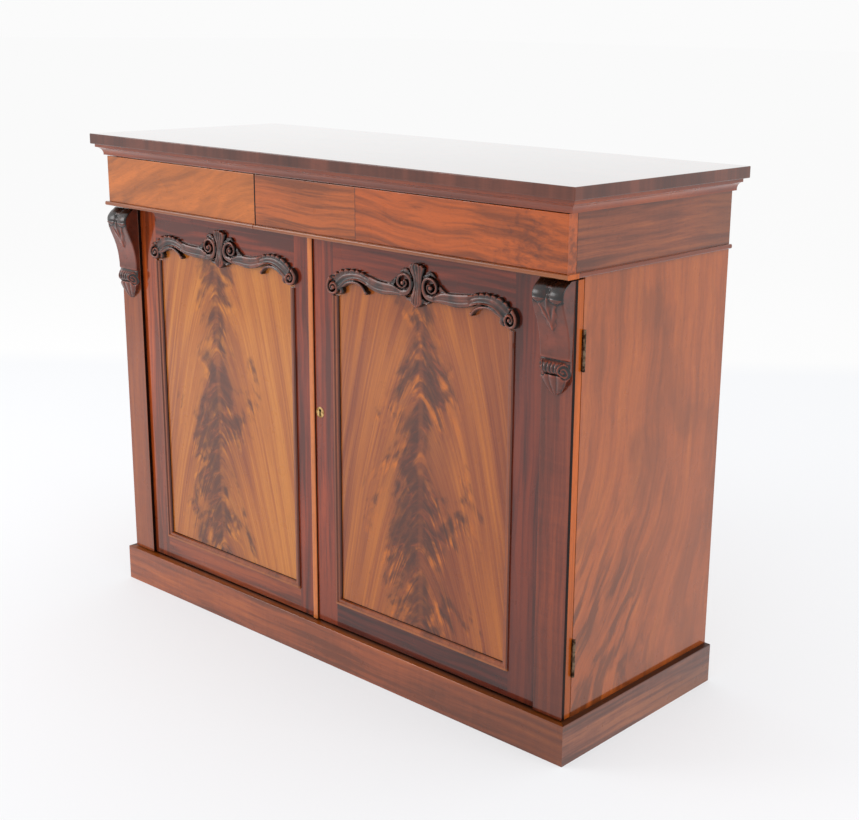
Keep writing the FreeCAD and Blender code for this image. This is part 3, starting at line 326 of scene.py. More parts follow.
def flame_finish(name, tones, door):
    """Crotch mahogany veneer, French polished: soft streaks that fan down and out from a ragged
    dark feather, whose patches are rippled inside and edged with bright orange licks."""
    material, tree, shader, coords = new_finish(name)
    deep, body, light, feather, lick = (tuple(tone[:3]) for tone in tones)
    easy = wandering(tree, coords, 9, 200, door["shift"])
    place = add(tree, "SeparateXYZ", easy)
    x, z = place.outputs["X"], place.outputs["Z"]
    up = add(tree, "MapRange", z, From_Min=PANEL_FOOT, From_Max=PANEL_HEAD)
    # Ramps hold the feather's middle and half-width up the panel.
    middle = add(tree, "ValToRGB", up, stops=door["feather"])
    width = add(tree, "ValToRGB", up, stops=door["spread"])
    centre = add(tree, "Math", middle, FEATHER_SPAN, door["left"], operation="MULTIPLY_ADD")
    apart = add(tree, "Math", x, centre, operation="SUBTRACT")
    apart = add(tree, "Math", apart, operation="ABSOLUTE")
    off = add(tree, "Math", x, door["axis"], operation="SUBTRACT")
    square = add(tree, "Math", off, off, operation="MULTIPLY")
    beside = add(tree, "Math", square, FAN_ROUND, operation="ADD")
    beside = add(tree, "Math", beside, operation="SQRT")
    # A streak keeps the height at which it left the feather, less a slope that steepens outwards.
    fan = add(tree, "Math", beside, FAN_SLOPE, z, operation="MULTIPLY_ADD")
    fan = add(tree, "Math", square, FAN_BEND, fan, operation="MULTIPLY_ADD")
    spot = add(tree, "CombineXYZ", fan, beside, off)

    def figure(vector, across, along, step, detail=2.0, twist=0.0):
        """Noise drawn out along the streaks, both sizes in metres."""
        placed = add(tree, "Mapping", vector, Location=(door["shift"] + step, step, 0),
                     Scale=(1 / across, 1 / along, 9.0))
        return add(tree, "TexNoise", placed, Scale=1.0, Detail=detail, Distortion=twist)

    # Streaks 160 to 7 mm apart where they leave the feather, each with its weight.
    layers = [(figure(spot, across, along, weight), weight) for across, along, weight in (
        (0.16, 0.6, 1.0), (0.05, 0.4, 0.8), (0.02, 0.22, 0.6), (0.007, 0.12, 0.6))]
    # The wood deepens towards the feather and grows lighter towards one edge of the leaf.
    near = add(tree, "MapRange", apart, From_Max=0.1, To_Min=0.3, To_Max=0.5)
    lean = add(tree, "MapRange", off, From_Min=-0.2, From_Max=0.2, To_Min=0.5 - door["lean"],
               To_Max=0.5 + door["lean"])
    fanned = weigh(tree, [*layers, (near, 1.0), (lean, 1.0)])
    fanned = add(tree, "Math", fanned, 0.08, operation="ADD")
    wood = add(tree, "ValToRGB", fanned, stops=[(0.15, deep), (0.5, body), (0.85, light)])
    # The feather's field: 0.95 at its middle and 0.4 at its edge, broken up by clouds that arch
    # over the middle and, lower down, by streaks drawn out along the fan.
    arch = add(tree, "Math", beside, 0.7, place.outputs["Z"], operation="MULTIPLY_ADD")
    arched = add(tree, "CombineXYZ", arch, off)
    # Patches 100 mm wide, clouds of 40 mm in them, and ripples 9 mm apart over the middle.
    patches = figure(arched, 0.1, 0.075, 1.0, 4.0, 0.8)
    clouds = figure(arched, 0.036, 0.042, 5.0, 5.0, 1.0)
    ripples = figure(arched, 0.009, 0.03, 2.0, 3.0, 0.6)
    drawn = figure(spot, 0.05, 0.2, 4.0, 4.0, 0.3)
    half = add(tree, "Math", width, FEATHER_SPAN / 2, operation="MULTIPLY")
    edge = add(tree, "Math", apart, half, operation="DIVIDE")
    field = add(tree, "Math", edge, -0.55, 0.95, operation="MULTIPLY_ADD")
    field = weigh(tree, [(field, 1.0), (patches, 3.0), (clouds, 1.5), (ripples, 0.6)])
    low = add(tree, "MapRange", up, From_Min=0.6, From_Max=0.0, To_Min=0.6, To_Max=1.5)
    drawn = add(tree, "Math", drawn, 0.5, operation="SUBTRACT")
    trail = add(tree, "Math", drawn, low, field, operation="MULTIPLY_ADD")
    dark = add(tree, "MapRange", trail, From_Min=0.28, From_Max=0.93, To_Max=0.95,
               interpolation_type="SMOOTHSTEP")
    # A seam of paler wood runs up the middle, where the two limbs of the fork met.
    seam = add(tree, "MapRange", beside, From_Min=0.0115, From_Max=0.0091, To_Max=0.4)
    dark = add(tree, "Math", dark, seam, operation="SUBTRACT", use_clamp=True)
    inner = weigh(tree, [(ripples, 1.6), (clouds, -1.0)])
    patch = add(tree, "ValToRGB", inner,
                stops=[(0.25, feather), (0.6, toned(feather, 1.5)), (0.85, deep)])
    # Smoke hangs round the feather as a soft brown shade.
    smoke = add(tree, "MapRange", edge, From_Min=1.7, From_Max=0.2, To_Max=0.8,
                interpolation_type="SMOOTHSTEP")
    smoke = add(tree, "Math", smoke, patches, operation="MULTIPLY")
    wood = add(tree, "Mix", smoke, wood, toned(feather, 1.5), data_type="RGBA")
    # Licks are short bright streaks beside the feather, most of them under a dark patch.
    thin = figure(spot, 0.018, 0.08, 7.0, 3.0, 0.4)
    raised = add(tree, "Math", arch, 0.014, operation="ADD")
    above = figure(add(tree, "CombineXYZ", raised, off), 0.1, 0.075, 1.0, 4.0, 0.8)
    under = add(tree, "Math", above, patches, operation="SUBTRACT")
    under = add(tree, "MapRange", under, From_Min=-0.02, From_Max=0.08, To_Min=0.25)
    lively = add(tree, "ValToRGB", field, stops=[(0.1, 0.0), (0.5, 1.0), (0.8, 0.7), (1.0, 0.25)])
    lit = add(tree, "MapRange", thin, From_Min=0.44, From_Max=0.62,
              interpolation_type="SMOOTHSTEP")
    lit = add(tree, "Math", lit, lively, operation="MULTIPLY")
    lit = add(tree, "Math", lit, under, operation="MULTIPLY")
    colour = add(tree, "Mix", dark, wood, patch, data_type="RGBA")
    colour = add(tree, "Mix", lit, colour, lick, data_type="RGBA")
    # The veneer is on the front alone: the panel's back is plain mahogany.
    between = tuple((a + b) / 2 for a, b in zip(deep, body))
    plain, _ = mahogany(tree, coords, "Z", (deep, between, body), door["shift"])
    colour = add(tree, "Mix", facing(tree, "Y", 0.5), colour, plain, data_type="RGBA")
    polish(tree, shader, coords, colour, pores(tree, coords, "Z", door["shift"]), layers[1][0],
           pore_shade=0.12, depth=0.03)
    return material


# The panels' foot and head, and the width that the feather's ramps are parts of, in metres.
PANEL_FOOT, PANEL_HEAD, FEATHER_SPAN = 0.1, 0.72, 0.4
# Each panel's left edge, the fan's middle, the noise's shift and the lean of its tone, and its
# feather: its middle and half-width as (part of the height, value) from the foot up.
LEFT_FLAME = {
    "left": -0.4585, "axis": -0.284, "shift": 0.4, "lean": 0.09,
    "feather": [(0.0, 0.4), (0.1, 0.42), (0.25, 0.38), (0.4, 0.42), (0.5, 0.44), (0.62, 0.46),
                (0.72, 0.46), (0.86, 0.44), (1.0, 0.42)],
    "spread": [(0.0, 0.36), (0.1, 0.36), (0.28, 0.3), (0.42, 0.3), (0.54, 0.28), (0.66, 0.25),
               (0.78, 0.2), (0.88, 0.16), (1.0, 0.2)],
}
RIGHT_FLAME = {
    "left": 0.0405, "axis": 0.246, "shift": 1.3, "lean": -0.11,
    "feather": [(0.0, 0.54), (0.12, 0.54), (0.28, 0.52), (0.4, 0.5), (0.5, 0.47), (0.6, 0.5),
                (0.72, 0.53), (0.82, 0.54), (0.92, 0.47), (1.0, 0.46)],
    "spread": [(0.0, 0.38), (0.12, 0.36), (0.3, 0.32), (0.44, 0.34), (0.56, 0.3), (0.7, 0.25),
               (0.8, 0.2), (0.9, 0.16), (1.0, 0.2)],
}


def drawer_finish(name, leaves, joint=None, knot=None):
    """Figured mahogany veneer on a drawer front, French polished: each leaf sweeps its own
    way, and where two leaves meet a hairline of dark glue shows. Round a knot, given as its x,
    z and reach, the wood is mottled."""
    material, tree, shader, coords = new_finish(name)
    place = add(tree, "SeparateXYZ", coords).outputs["X"]
    shown = [mahogany(tree, coords, "X", (toned(tint, 0.62), toned(tint, 1.0), toned(tint, 1.35)),
                      **leaf) for tint, leaf in leaves]
    colour, line = shown[0]
    if joint is not None:
        past = add(tree, "Math", place, joint, operation="GREATER_THAN")
        colour = add(tree, "Mix", past, colour, shown[1][0], data_type="RGBA")
        near = add(tree, "Math", place, joint, 0.6 * MM, operation="COMPARE")
        colour = add(tree, "Mix", near, colour, linear("#2A120C"), data_type="RGBA")
    if knot is not None:
        # Flecks of 8 by 14 mm, which run together near the knot.
        flecks = streaks(tree, coords, "X", 8, 14, 21.0, 5.0, 0.35)
        close = add(tree, "MapRange", away_from(tree, coords, *knot[:2]), From_Min=knot[2],
                    From_Max=0.0, To_Min=-0.2, To_Max=0.1)
        mottle = add(tree, "Math", flecks, close, operation="ADD")
        mottle = add(tree, "MapRange", mottle, From_Min=0.4, From_Max=0.76, To_Max=0.6,
                     interpolation_type="SMOOTHSTEP")
        colour = add(tree, "Mix", mottle, colour, linear("#4A1C0C"), data_type="RGBA")
    # The edges that face each other between the two drawers are blackened: painted shade in the
    # gap.
    gap = (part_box("left_drawer_front")[1].x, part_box("right_drawer_front")[0].x)
    reach = (gap[1] - gap[0]) / 2 + 0.8 * MM
    painted_shade_mask = add(tree, "Math", place, sum(gap) / 2, reach, operation="COMPARE")
    colour = add(tree, "Mix", painted_shade_mask, colour, PAINTED_SHADE_BLACK, data_type="RGBA")
    polish(tree, shader, coords, colour, pores(tree, coords, "X", 4.0), line)
    return material


def carved_finish(name, colour, clear, blotch):
    """Carved mahogany, stained and French polished: near-black in the hollows, where polish and
    dust have gathered and painted shade darkens them further, rubbed to red-brown on the high
    parts, with small sharp highlights."""
    material, tree, shader, coords = new_finish(name)
    hollow = add(tree, "Attribute", attribute_name="hollow").outputs["Fac"]
    patch = add(tree, "TexNoise", coords, Scale=1 / (18 * MM), Detail=4.0)
    depth = weigh(tree, [(hollow, 1.0), (patch, blotch)])
    colour = add(tree, "ValToRGB", depth, stops=[
        (at, toned(colour, part)) for at, part in ((0.1, 4.0), (0.4, 1.8), (0.55, 0.75),
                                                   (0.72, 0.06))])
    polish(tree, shader, coords, colour, pores(tree, coords, "X", 6.0), patch, clear=clear,
           uneven=0.7, wear=8)
    return material


# Width of one of the three boards of the back, with its joint.
BACK_BOARD = (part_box("back_boards")[1].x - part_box("back_boards")[0].x) / 3


def plain_wood(name, grain, dark, light, sizes, rough, wide=None):
    """Bare or waxed softwood and oak inside: planed, dry, with growth rings drawn out. Boards
    beside each other, so many metres wide, differ in tone and meet at a dark line."""
    material, tree, shader, coords = new_finish(name)
    bent = wandering(tree, coords, 12, 300)
    rings = streaks(tree, bent, grain, *sizes, detail=3.0, twist=0.1)
    broad = streaks(tree, bent, grain, sizes[0] * 4, sizes[1], shift=2.0, detail=1.0)
    stain = add(tree, "TexNoise", coords, Scale=1 / (140 * MM), Detail=5.0)
    layers = [(rings, 1.3), (broad, 0.7), (stain, 0.3)]
    if wide:
        place = add(tree, "SeparateXYZ", coords).outputs["X"]
        across = add(tree, "Math", place, 1 / wide, 0.5, operation="MULTIPLY_ADD")
        number = add(tree, "Math", across, operation="FLOOR")
        tone = add(tree, "TexWhiteNoise", number, noise_dimensions="1D")
        layers.append((tone.outputs["Value"], 0.35))
    colour = add(tree, "ValToRGB", weigh(tree, layers),
                 stops=[(0.2, linear(dark)), (0.8, linear(light))])
    if wide:
        part = add(tree, "Math", across, operation="FRACT")
        seam = add(tree, "Math", part, 0.5, operation="SUBTRACT")
        seam = add(tree, "Math", seam, operation="ABSOLUTE")
        seam = add(tree, "Math", seam, 0.4965, operation="GREATER_THAN")
        colour = add(tree, "Mix", seam, colour, linear("#3A2614"), data_type="RGBA")
    fibre = streaks(tree, coords, grain, 1.4, 40, detail=2.0)
    rubbed = add(tree, "MapRange", fibre, To_Min=rough - 0.1, To_Max=rough + 0.1)
    bump = add(tree, "Bump", Height=fibre, Strength=0.5, Distance=0.15 * MM)
    put(tree, shader, {"Base Color": colour, "Roughness": rubbed, "Normal": bump})
    return material


def metal_finish(name, dull, bright, rough, hole=None):
    """Cast or rolled metal, filed and handled: bright where rubbed, dull brown where not, and
    black inside a hole as painted shade."""
    material, tree, shader, coords = new_finish(name)
    cloud = add(tree, "TexNoise", coords, Scale=1 / (6 * MM), Detail=5.0)
    colour = add(tree, "ValToRGB", cloud, stops=[(0.38, linear(dull)), (0.62, linear(bright))])
    # The hole's wall is near-black: painted shade.
    if hole:
        colour = add(tree, "Mix", in_hole(tree, coords, hole), colour, linear("#0A0604"),
                     data_type="RGBA")
    # File marks are 0.1 mm apart. They are drawn 0.6 mm apart so that they show.
    marks = streaks(tree, coords, "Z", 0.6, 14, detail=2.0)
    rubbed = add(tree, "MapRange", cloud, To_Min=rough + 0.12, To_Max=rough - 0.08)
    bump = add(tree, "Bump", Height=marks, Strength=0.3, Distance=0.04 * MM)
    put(tree, shader, {"Base Color": colour, "Roughness": rubbed, "Normal": bump, "Metallic": 1.0})
    return material


# ---------------------------------------------------------------- shapes of the carving

def curve_through(points, count):
    """Smooth curve through given points (rows of any length), as count samples."""
    points = np.asarray(points, float)
    padded = np.vstack([2 * points[0] - points[1], points, 2 * points[-1] - points[-2]])
    at = np.linspace(0, len(points) - 1, count)
    step = np.minimum(at.astype(int), len(points) - 2)
    t = (at - step)[:, None]
    a, b, c, d = (padded[step + k] for k in range(4))
    return 0.5 * (2 * b + (c - a) * t + (2 * a - 5 * b + 4 * c - d) * t ** 2
                  + (3 * b - a - 3 * c + d) * t ** 3)


def unit(values):
    """Hold values between 0 and 1."""
    return np.clip(values, 0, 1)


def bell(at, middle, width, power=2):
    """A smooth hump: 1 at its middle, and square-shouldered at a higher power."""
    return np.exp(-((at - middle) / width) ** power)


def dome(part, power):
    """A rounded section: 1 at its middle, falling to 0 where the part of its half-width is 1."""
    return np.sqrt(unit(1 - part ** power))


def read_off(table, at, outside=None):
    """Values between a table's rows, with one of their own beyond its ends if given."""
    rows = np.array(table, float)
    return np.interp(at, rows[:, 0], rows[:, 1], left=outside, right=outside)


def skin(rings, size):
    """Faces that join closed rings of points, each of one size."""
    return [(a + k, a + (k + 1) % size, a + size + (k + 1) % size, a + size + k)
            for a in range(0, (rings - 1) * size, size) for k in range(size)]


def band_field(x, z, stroke):
    """Depth inside one carved band (mm, below 0 outside) and its height over the ground."""
    line = curve_through([(px, pz, w) for (px, pz), w in zip(stroke["path"], stroke["widths"])],
                         170)
    away = (x[..., None] - line[:, 0]) ** 2 + (z[..., None] - line[:, 1]) ** 2
    nearest = away.argmin(axis=-1)
    gap = np.sqrt(np.take_along_axis(away, nearest[..., None], -1)[..., 0])
    way, foot = np.gradient(line[:, :2], axis=0)[nearest], line[nearest]
    side = np.sign(way[..., 0] * (z - foot[..., 1]) - way[..., 1] * (x - foot[..., 0]))
    half = np.maximum(foot[..., 2], 0.8) / 2
    along = np.concatenate([[0], np.cumsum(np.hypot(*np.diff(line[:, :2], axis=0).T))])[nearest]
    cut = 0.0
    if "notches" in stroke:
        first, last, apart, bite = stroke["notches"]
        here = (along > first) & (along < last) & (side * stroke["outer"] > 0)
        wave = 0.5 - 0.5 * np.cos(2 * np.pi * (along - first) / apart)
        half = half + np.where(here, bite * (wave ** 0.35 - 0.75), 0)
        cut = np.where(here, (1 - wave) ** 3, 0)
    part = unit(gap / half)
    across = side * part
    # Where a band runs on into the next one, its end sinks away so that no edge shows.
    first, last = stroke.get("sinks", (0, 0))
    sunk = unit(along / max(first, 0.01)) * unit((along.max() - along) / max(last, 0.01))
    if stroke["section"] == "hollow":
        # Two lips with a vein between them.
        body = 0.56 + 0.44 * bell(part, 0.8, 0.17) + 0.1 * bell(across, 0, 0.12)
        body = body * (1 - 0.45 * cut * unit(part * 2 - 0.7))
    elif stroke["section"] == "ribbon":
        # Fine rounds run along it, with a shallow hollow where it is broad.
        broad = half > 6
        body = 0.965 + 0.035 * np.cos(across * np.where(broad, 4, 2) * np.pi)
        body = body - 0.14 * broad * (1 - part ** 2)
    else:
        body = 0.7 + 0.3 * dome(part, 2)
    return half - gap, stroke["relief"] * dome(part, 6) ** 0.6 * body * (0.6 + 0.4 * sunk)


# The bands of a crest's right half in mm: each one's middle line, its widths along that, how far
# it stands out, its section, the lengths over which its ends sink and, where its outer edge is
# cut in teeth, where they start and end, how far apart they are and how deep.
CREST_STROKES = [
    # The ribbon, from the end scroll in to the volute beside the fan and round it.
    {"path": [(118, 718.5), (100, 714), (85, 712), (70, 711.6), (60, 711.8), (50, 711),
              (40, 709.6), (30, 709), (20, 711.5), (14.5, 718), (13, 726), (16.5, 734.5),
              (24, 739.5), (33, 739.6), (40, 735), (42.5, 727), (39.5, 720.5), (33, 717.8),
              (26.5, 719.4), (23, 724.5), (25, 729.5), (29, 730.4)],
     "widths": [19, 21, 21.5, 21, 20, 17, 13, 11, 9, 7.6, 6.6, 6, 5.8, 5.6, 5.4, 5.2, 5, 4.6,
                4.2, 4, 3.6, 3.2],
     "relief": 8.0, "section": "ribbon", "sinks": (9, 0)},
    # The leaf that rises off the ribbon just outside the volute.
    {"path": [(70, 713), (59, 719), (52, 725), (47.5, 732.5)], "widths": [14, 11, 8, 1.4],
     "relief": 7.4, "section": "hollow", "sinks": (14, 0)},
    # The end scroll, hollowed, with its upper edge cut in teeth.
    {"path": [(104, 715), (112, 717), (126, 721.3), (137.5, 723), (149, 723), (160, 721.2),
              (171, 717.5), (181, 711.5), (189, 705.5)],
     "widths": [18, 18, 18, 19, 20.5, 22.5, 25, 26.5, 24],
     "relief": 8.8, "section": "hollow", "outer": 1, "notches": (17, 96, 11.3, 4.4),
     "sinks": (9, 0)},
    # The scroll's roll at its end.
    {"path": [(199, 713), (205, 706.5), (206.5, 698), (203, 690.5), (195, 687.5), (187.5, 690),
              (184.5, 696.5), (188, 703), (195, 704.6), (200, 700), (199, 695), (194.5, 693)],
     "widths": [8, 7, 6.4, 6.4, 6.2, 5.8, 5.4, 5, 4.6, 4.4, 4, 3.6],
     "relief": 9.6, "section": "round"},
    # The rim under the scroll, which ends in a drop over the panel.
    {"path": [(183, 697.5), (177, 699.5), (169, 703), (160, 707.6), (150, 710.2), (140, 710.6),
              (130, 708), (122, 703), (116.5, 697)],
     "widths": [6, 5.8, 5.6, 5.6, 5.6, 5.6, 5.2, 4.8, 4.2],
     "relief": 7.4, "section": "round"},
    {"path": [(183, 700), (178, 696.5), (176, 692.5), (178.5, 689)],
     "widths": [7, 8, 8.4, 6], "relief": 6.6, "section": "round"},
    # The leaf between the fan and the volute.
    {"path": [(13.5, 722), (15, 733), (19, 741), (25, 746.5), (31.5, 747.6), (38, 743.6)],
     "widths": [4.5, 6.5, 8, 7, 5.4, 2.2], "relief": 7.6, "section": "hollow",
     "outer": 1, "notches": (12, 34, 11, 2.0)},
    # The leaf at the fan's foot.
    {"path": [(11, 703.5), (16, 700.5), (21, 700), (26.5, 702)],
     "widths": [6, 6, 4.8, 2], "relief": 7.0, "section": "hollow"},
]
# Round beads as (offset, height, radius, relief): the eyes of the rolls and the rims' drops.
CREST_BEADS = [(30.5, 725.6, 4.4, 9.8), (193.5, 697.5, 4.2, 10.0), (116, 696.6, 3.4, 7.8)]
# Half-width of the middle fan at each height.
FAN = [(690.5, 3), (693, 8), (697, 12.5), (702, 14), (706, 12), (712, 9.8), (725, 8.8),
       (738, 11), (747, 15.5), (754, 17.6), (758, 14.5), (761.5, 7)]


def crest_field(x, z):
    """Depth inside the crest's outline and its height, x being the distance from its middle."""
    inside = np.full(x.shape, -99.0)
    height = np.zeros(x.shape)
    for stroke in CREST_STROKES:
        deep, tall = band_field(np.abs(x), z, stroke)
        height = np.where(deep > 0, np.maximum(height, tall), height)
        inside = np.maximum(inside, deep)
    for eye_x, eye_z, radius, relief in CREST_BEADS:
        away = np.hypot(np.abs(x) - eye_x, z - eye_z)
        bead = relief * (0.55 + 0.45 * dome(away / radius, 2))
        height = np.where(away < radius, np.maximum(height, bead), height)
        inside = np.maximum(inside, radius - away)
    half = read_off(FAN, z, -9)
    # The fan's top is cut in five lobes, one to a flute.
    part = np.clip(x / np.maximum(half, 1), -1, 1)
    lobes = np.abs(np.sin(2.5 * np.pi * (part + 1)))
    deep = np.minimum(half - np.abs(x), 761.8 - z - 2.2 * (1 - lobes) * (z > 750) - 4 * part ** 2)
    swell = 0.84 + 0.16 * np.cos(unit((z - 700) / 58) * 2 * np.pi)
    tall = 9.7 * swell * (0.8 + 0.2 * lobes ** 0.7) * dome(part, 6)
    height = np.where(deep > 0, np.maximum(height, tall), height)
    return np.maximum(inside, deep), height


def soften(field, passes):
    """Blur a field by its neighbours a number of times."""
    for _ in range(passes):
        wide = np.pad(field, 1, mode="edge")
        field = (wide[1:-1, 1:-1] * 4 + wide[:-2, 1:-1] + wide[2:, 1:-1] + wide[1:-1, :-2]
                 + wide[1:-1, 2:]) / 8
    return field


def new_piece(name, mesh, material, angle=180):
    """Link a mesh as an object with its finish, smooth but for edges sharper than an angle."""
    mesh.polygons.foreach_set("use_smooth", [angle < 180] * len(mesh.polygons))
    if angle < 180:
        mesh.set_sharp_from_angle(angle=math.radians(angle))
    made = bpy.data.objects.new(name, mesh)
    bpy.context.scene.collection.objects.link(made)
    mesh.materials.append(material)
    return made


def finish_carving(door, kind, points, faces, hollow, material, angle):
    """Make a carved piece, ride it on its door and let it stand for its CAD node."""
    mesh = bpy.data.meshes.new(f"{door}_{kind}_carving")
    mesh.from_pydata([tuple(p) for p in points * MM], [], faces)
    kept = mesh.attributes.new("hollow", "FLOAT", "POINT")
    kept.data.foreach_set("value", unit(hollow).astype(np.float32))
    work = bmesh.new()
    work.from_mesh(mesh)
    bmesh.ops.delete(work, geom=[v for v in work.verts if not v.link_faces], context="VERTS")
    bmesh.ops.recalc_face_normals(work, faces=work.faces)
    work.to_mesh(mesh)
    work.free()
    made = new_piece(mesh.name, mesh, material, angle)
    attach(made, f"{door}_door")
    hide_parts(f"{door}_door_{kind}")


def middle_of(node):
    """Middle of a node on X, in mm."""
    low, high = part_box(node)
    return (low.x + high.x) / 2 / MM


# Y of the ground that a crest's relief rises from, and of its back on the panel, in mm.
CREST_GROUND, CREST_BACK = -183.9, -181.1
# Half-width of the crest as drawn above, and the heights that it lies between.
CREST_HALF, CREST_FOOT, CREST_HEAD = 209.6, 680, 764


def carve_crest(door, pitch, relief, material, hand):
    """A crest as one closed relief: its face, its steep sides and its back on the panel."""
    low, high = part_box(f"{door}_door_crest")
    half = (high.x - low.x) / 2 / MM
    xs = np.arange(-half - 3, half + 3.01, pitch)
    zs = np.arange(CREST_FOOT, CREST_HEAD + 0.01, pitch)
    x, z = np.meshgrid(xs, zs, indexing="ij")
    # A carver's hand: the two halves and the two doors differ by under a millimetre.
    sway_x = x + 0.7 * np.sin(0.052 * x + 0.09 * z + hand) + 0.4 * np.sin(0.17 * x - hand)
    sway_z = z + 0.7 * np.sin(0.061 * x - 0.05 * z + 2 * hand)
    inside, height = crest_field(sway_x * CREST_HALF / half, sway_z)
    height = soften(np.where(inside > 0, height, 0.25 * height.max()), 1) * relief / 10
    # The hollows and the carving's outline are darkened: old polish gathered there, with painted
    # shade.
    dip = unit(0.5 + (soften(height, 14) - height) * 0.26 + 0.5 * unit(1 - inside / 2.4))
    cells = (inside[:-1, :-1] + inside[1:, :-1] + inside[:-1, 1:] + inside[1:, 1:]) > 0
    used = np.zeros(x.shape, int)
    for di in (0, 1):
        for dj in (0, 1):
            used[di:di + cells.shape[0], dj:dj + cells.shape[1]] += cells
    # Points at the rim move onto the outline, so that the edge isn't stepped.
    rim = (used > 0) & (used < 4)
    slope_x, slope_z = np.gradient(inside, pitch)
    steep = np.maximum(slope_x ** 2 + slope_z ** 2, 0.2)
    move_x, move_z = (np.clip(-inside * s / steep, -0.6 * pitch, 0.6 * pitch)
                      for s in (slope_x, slope_z))
    x, z = x + np.where(rim, move_x, 0), z + np.where(rim, move_z, 0)
    kept = used > 0
    count = int(kept.sum())
    label = np.full(x.shape, -1)
    label[kept] = np.arange(count)
    px, pz, ph = x[kept] + middle_of(f"{door}_door_crest"), z[kept], height[kept]
    front = np.stack([px, CREST_GROUND - ph, pz], 1)
    wall = np.stack([px, CREST_GROUND - 0.72 * ph, pz], 1)
    back = np.stack([px, np.full(count, CREST_BACK), pz], 1)
    # The face and the back, and then two rows of sides under the face's open edges.
    faces, sides = [], {}
    for i, j in zip(*np.nonzero(cells)):
        ring = [label[i, j], label[i + 1, j], label[i + 1, j + 1], label[i, j + 1]]
        faces.append(tuple(ring))
        faces.append(tuple(v + 2 * count for v in reversed(ring)))
        for a, b in zip(ring, ring[1:] + ring[:1]):
            if (b, a) in sides:
                del sides[b, a]
            else:
                sides[a, b] = True
    for a, b in sides:
        faces.append((b, a, a + count, b + count))
        faces.append((b + count, a + count, a + 2 * count, b + 2 * count))
    # The sides and the back are fully dark: painted shade.
    hollow = np.concatenate([dip[kept], np.full(2 * count, 1.0)])
    finish_carving(door, "crest", np.vstack([front, wall, back]), faces, hollow, material, 48)


# Proud of the pilaster at each distance down from the corbel's top, and its half-width there.
CORBEL_PROFILE = [(0, 10.5), (6, 18.5), (12, 24), (18, 27.2), (26, 28.2), (34, 27.6), (42, 25),
                  (52, 21), (62, 17), (72, 13.6), (84, 10.6), (95, 8.8), (106, 7.8), (116, 7.8),
                  (121, 10), (125, 15), (130, 17.6), (136, 17), (141, 13), (145, 10.4),
                  (150, 9.4), (158, 7.4), (168, 4.4), (175, 1.4)]
CORBEL_HALF = [(0, 29.2), (9, 29.2), (40, 28.9), (100, 28.6), (118, 28.2), (122, 28.4),
               (141, 28.2), (147, 26.5), (151, 24), (155, 22), (158, 21.2), (162, 17.4),
               (166, 15.6), (171, 10.4), (175, 5)]
# Half-width of the leaf laid over the corbel: shoulders over the swell, then a long tongue.
CORBEL_LEAF = [(4, 31), (24, 31), (28, 29.5), (31, 24), (33.5, 17), (38, 14.8), (46, 14),
               (56, 11), (66, 7), (73, 3.2), (77, 0.5)]
# Half-width of the ridged drop at the corbel's foot.
CORBEL_DROP = [(144, 26), (150, 25), (160, 20), (170, 12), (175, 5)]


def corbel_relief(x, q):
    """Carving over the corbel's swelling front, in mm, at x from its middle and q down."""
    off = np.abs(x)
    leaf = read_off(CORBEL_LEAF, q, -9) + 1.2 * np.sin(q * 0.4) * (q > 36)
    on = unit((leaf - off) / 1.4 + 0.5)
    veins = 0.7 * np.cos(2 * np.pi * (off * 0.8 + q * 0.35) / 8) * unit((q - 34) / 8)
    rib = 1.3 * bell(x, 0, 2.2) * unit((q - 14) / 6)
    # Two polished swellings with the leaf's stem between them, and the stem's curl above.
    swell = np.hypot((off - 16.5) / 14.5, (q - 19.5) / np.where(q < 19.5, 26, 12.5))
    swells = 3.2 * unit(1 - swell ** 2) ** 0.6
    rim = -0.8 * bell(swell, 1.06, 0.1) * unit((q - 18) / 6)
    curl = np.hypot(x / 7, (q - 9) / 4)
    curls = unit(1 - curl ** 2) - np.exp(-((q - 15) / 3.4) ** 2 - (x / 4) ** 2)
    raised = on * (1.5 + veins + rib) * (q > 26) + rib * (q <= 26) + swells + rim + 1.8 * curls
    # The roll's front is cut in knobs, and each corner turns back with a volute cut into it.
    knobs = np.where((q > 123) & (q < 140) & (off < 15),
                     1.8 * np.abs(np.sin(np.pi * (x + 14) / 7)) ** 0.7 - 0.6, 0)
    corner = np.hypot((off - 21) * 1.5, q - 136)
    turn = np.arctan2(q - 136, (off - 21) * 1.5)
    coil = 1.3 * np.cos(2 * np.pi * (corner / 6.6 - turn / (2 * np.pi))) + 0.6
    eye = 1.6 * dome(corner / 3.2, 2)
    volute = np.where(corner < 12.4, np.minimum(coil + eye, 2.2), 0)
    back = -0.85 * np.clip(off - 15, 0, 14) * bell(q, 134, 12.5, 4)
    part = off / read_off(CORBEL_DROP, q)
    ridges = np.where(q >= 143, 1.7 * np.abs(np.cos(np.pi * part * 1.7)) ** 0.7 - 0.9
                      + 1.8 * (1 - part ** 2), 0)
    # Grooves part the roll from the neck above it and from the drop below.
    groove = -1.8 * bell(q, 120.5, 1.5) - 2.2 * bell(q, 142.5, 1.5) * (off < 15)
    return raised + knobs + volute + back + ridges * (corner > 12.4) + groove


def flank_relief(proud, q):
    """Carving on a corbel's flank, in mm outwards: a bead where the roll ends."""
    return 0.8 * bell(q, 134, 7) * unit(proud / 3)


# Z of a corbel's top, Y of the pilaster's face and how deep the corbel is let in, in mm, and the
# corbel's length and the distance between its rings.
CORBEL_TOP, PILASTER_FACE, CORBEL_SUNK = 774.6, -190.4, 1.0
CORBEL_LENGTH, CORBEL_PITCH = 175, 1.25


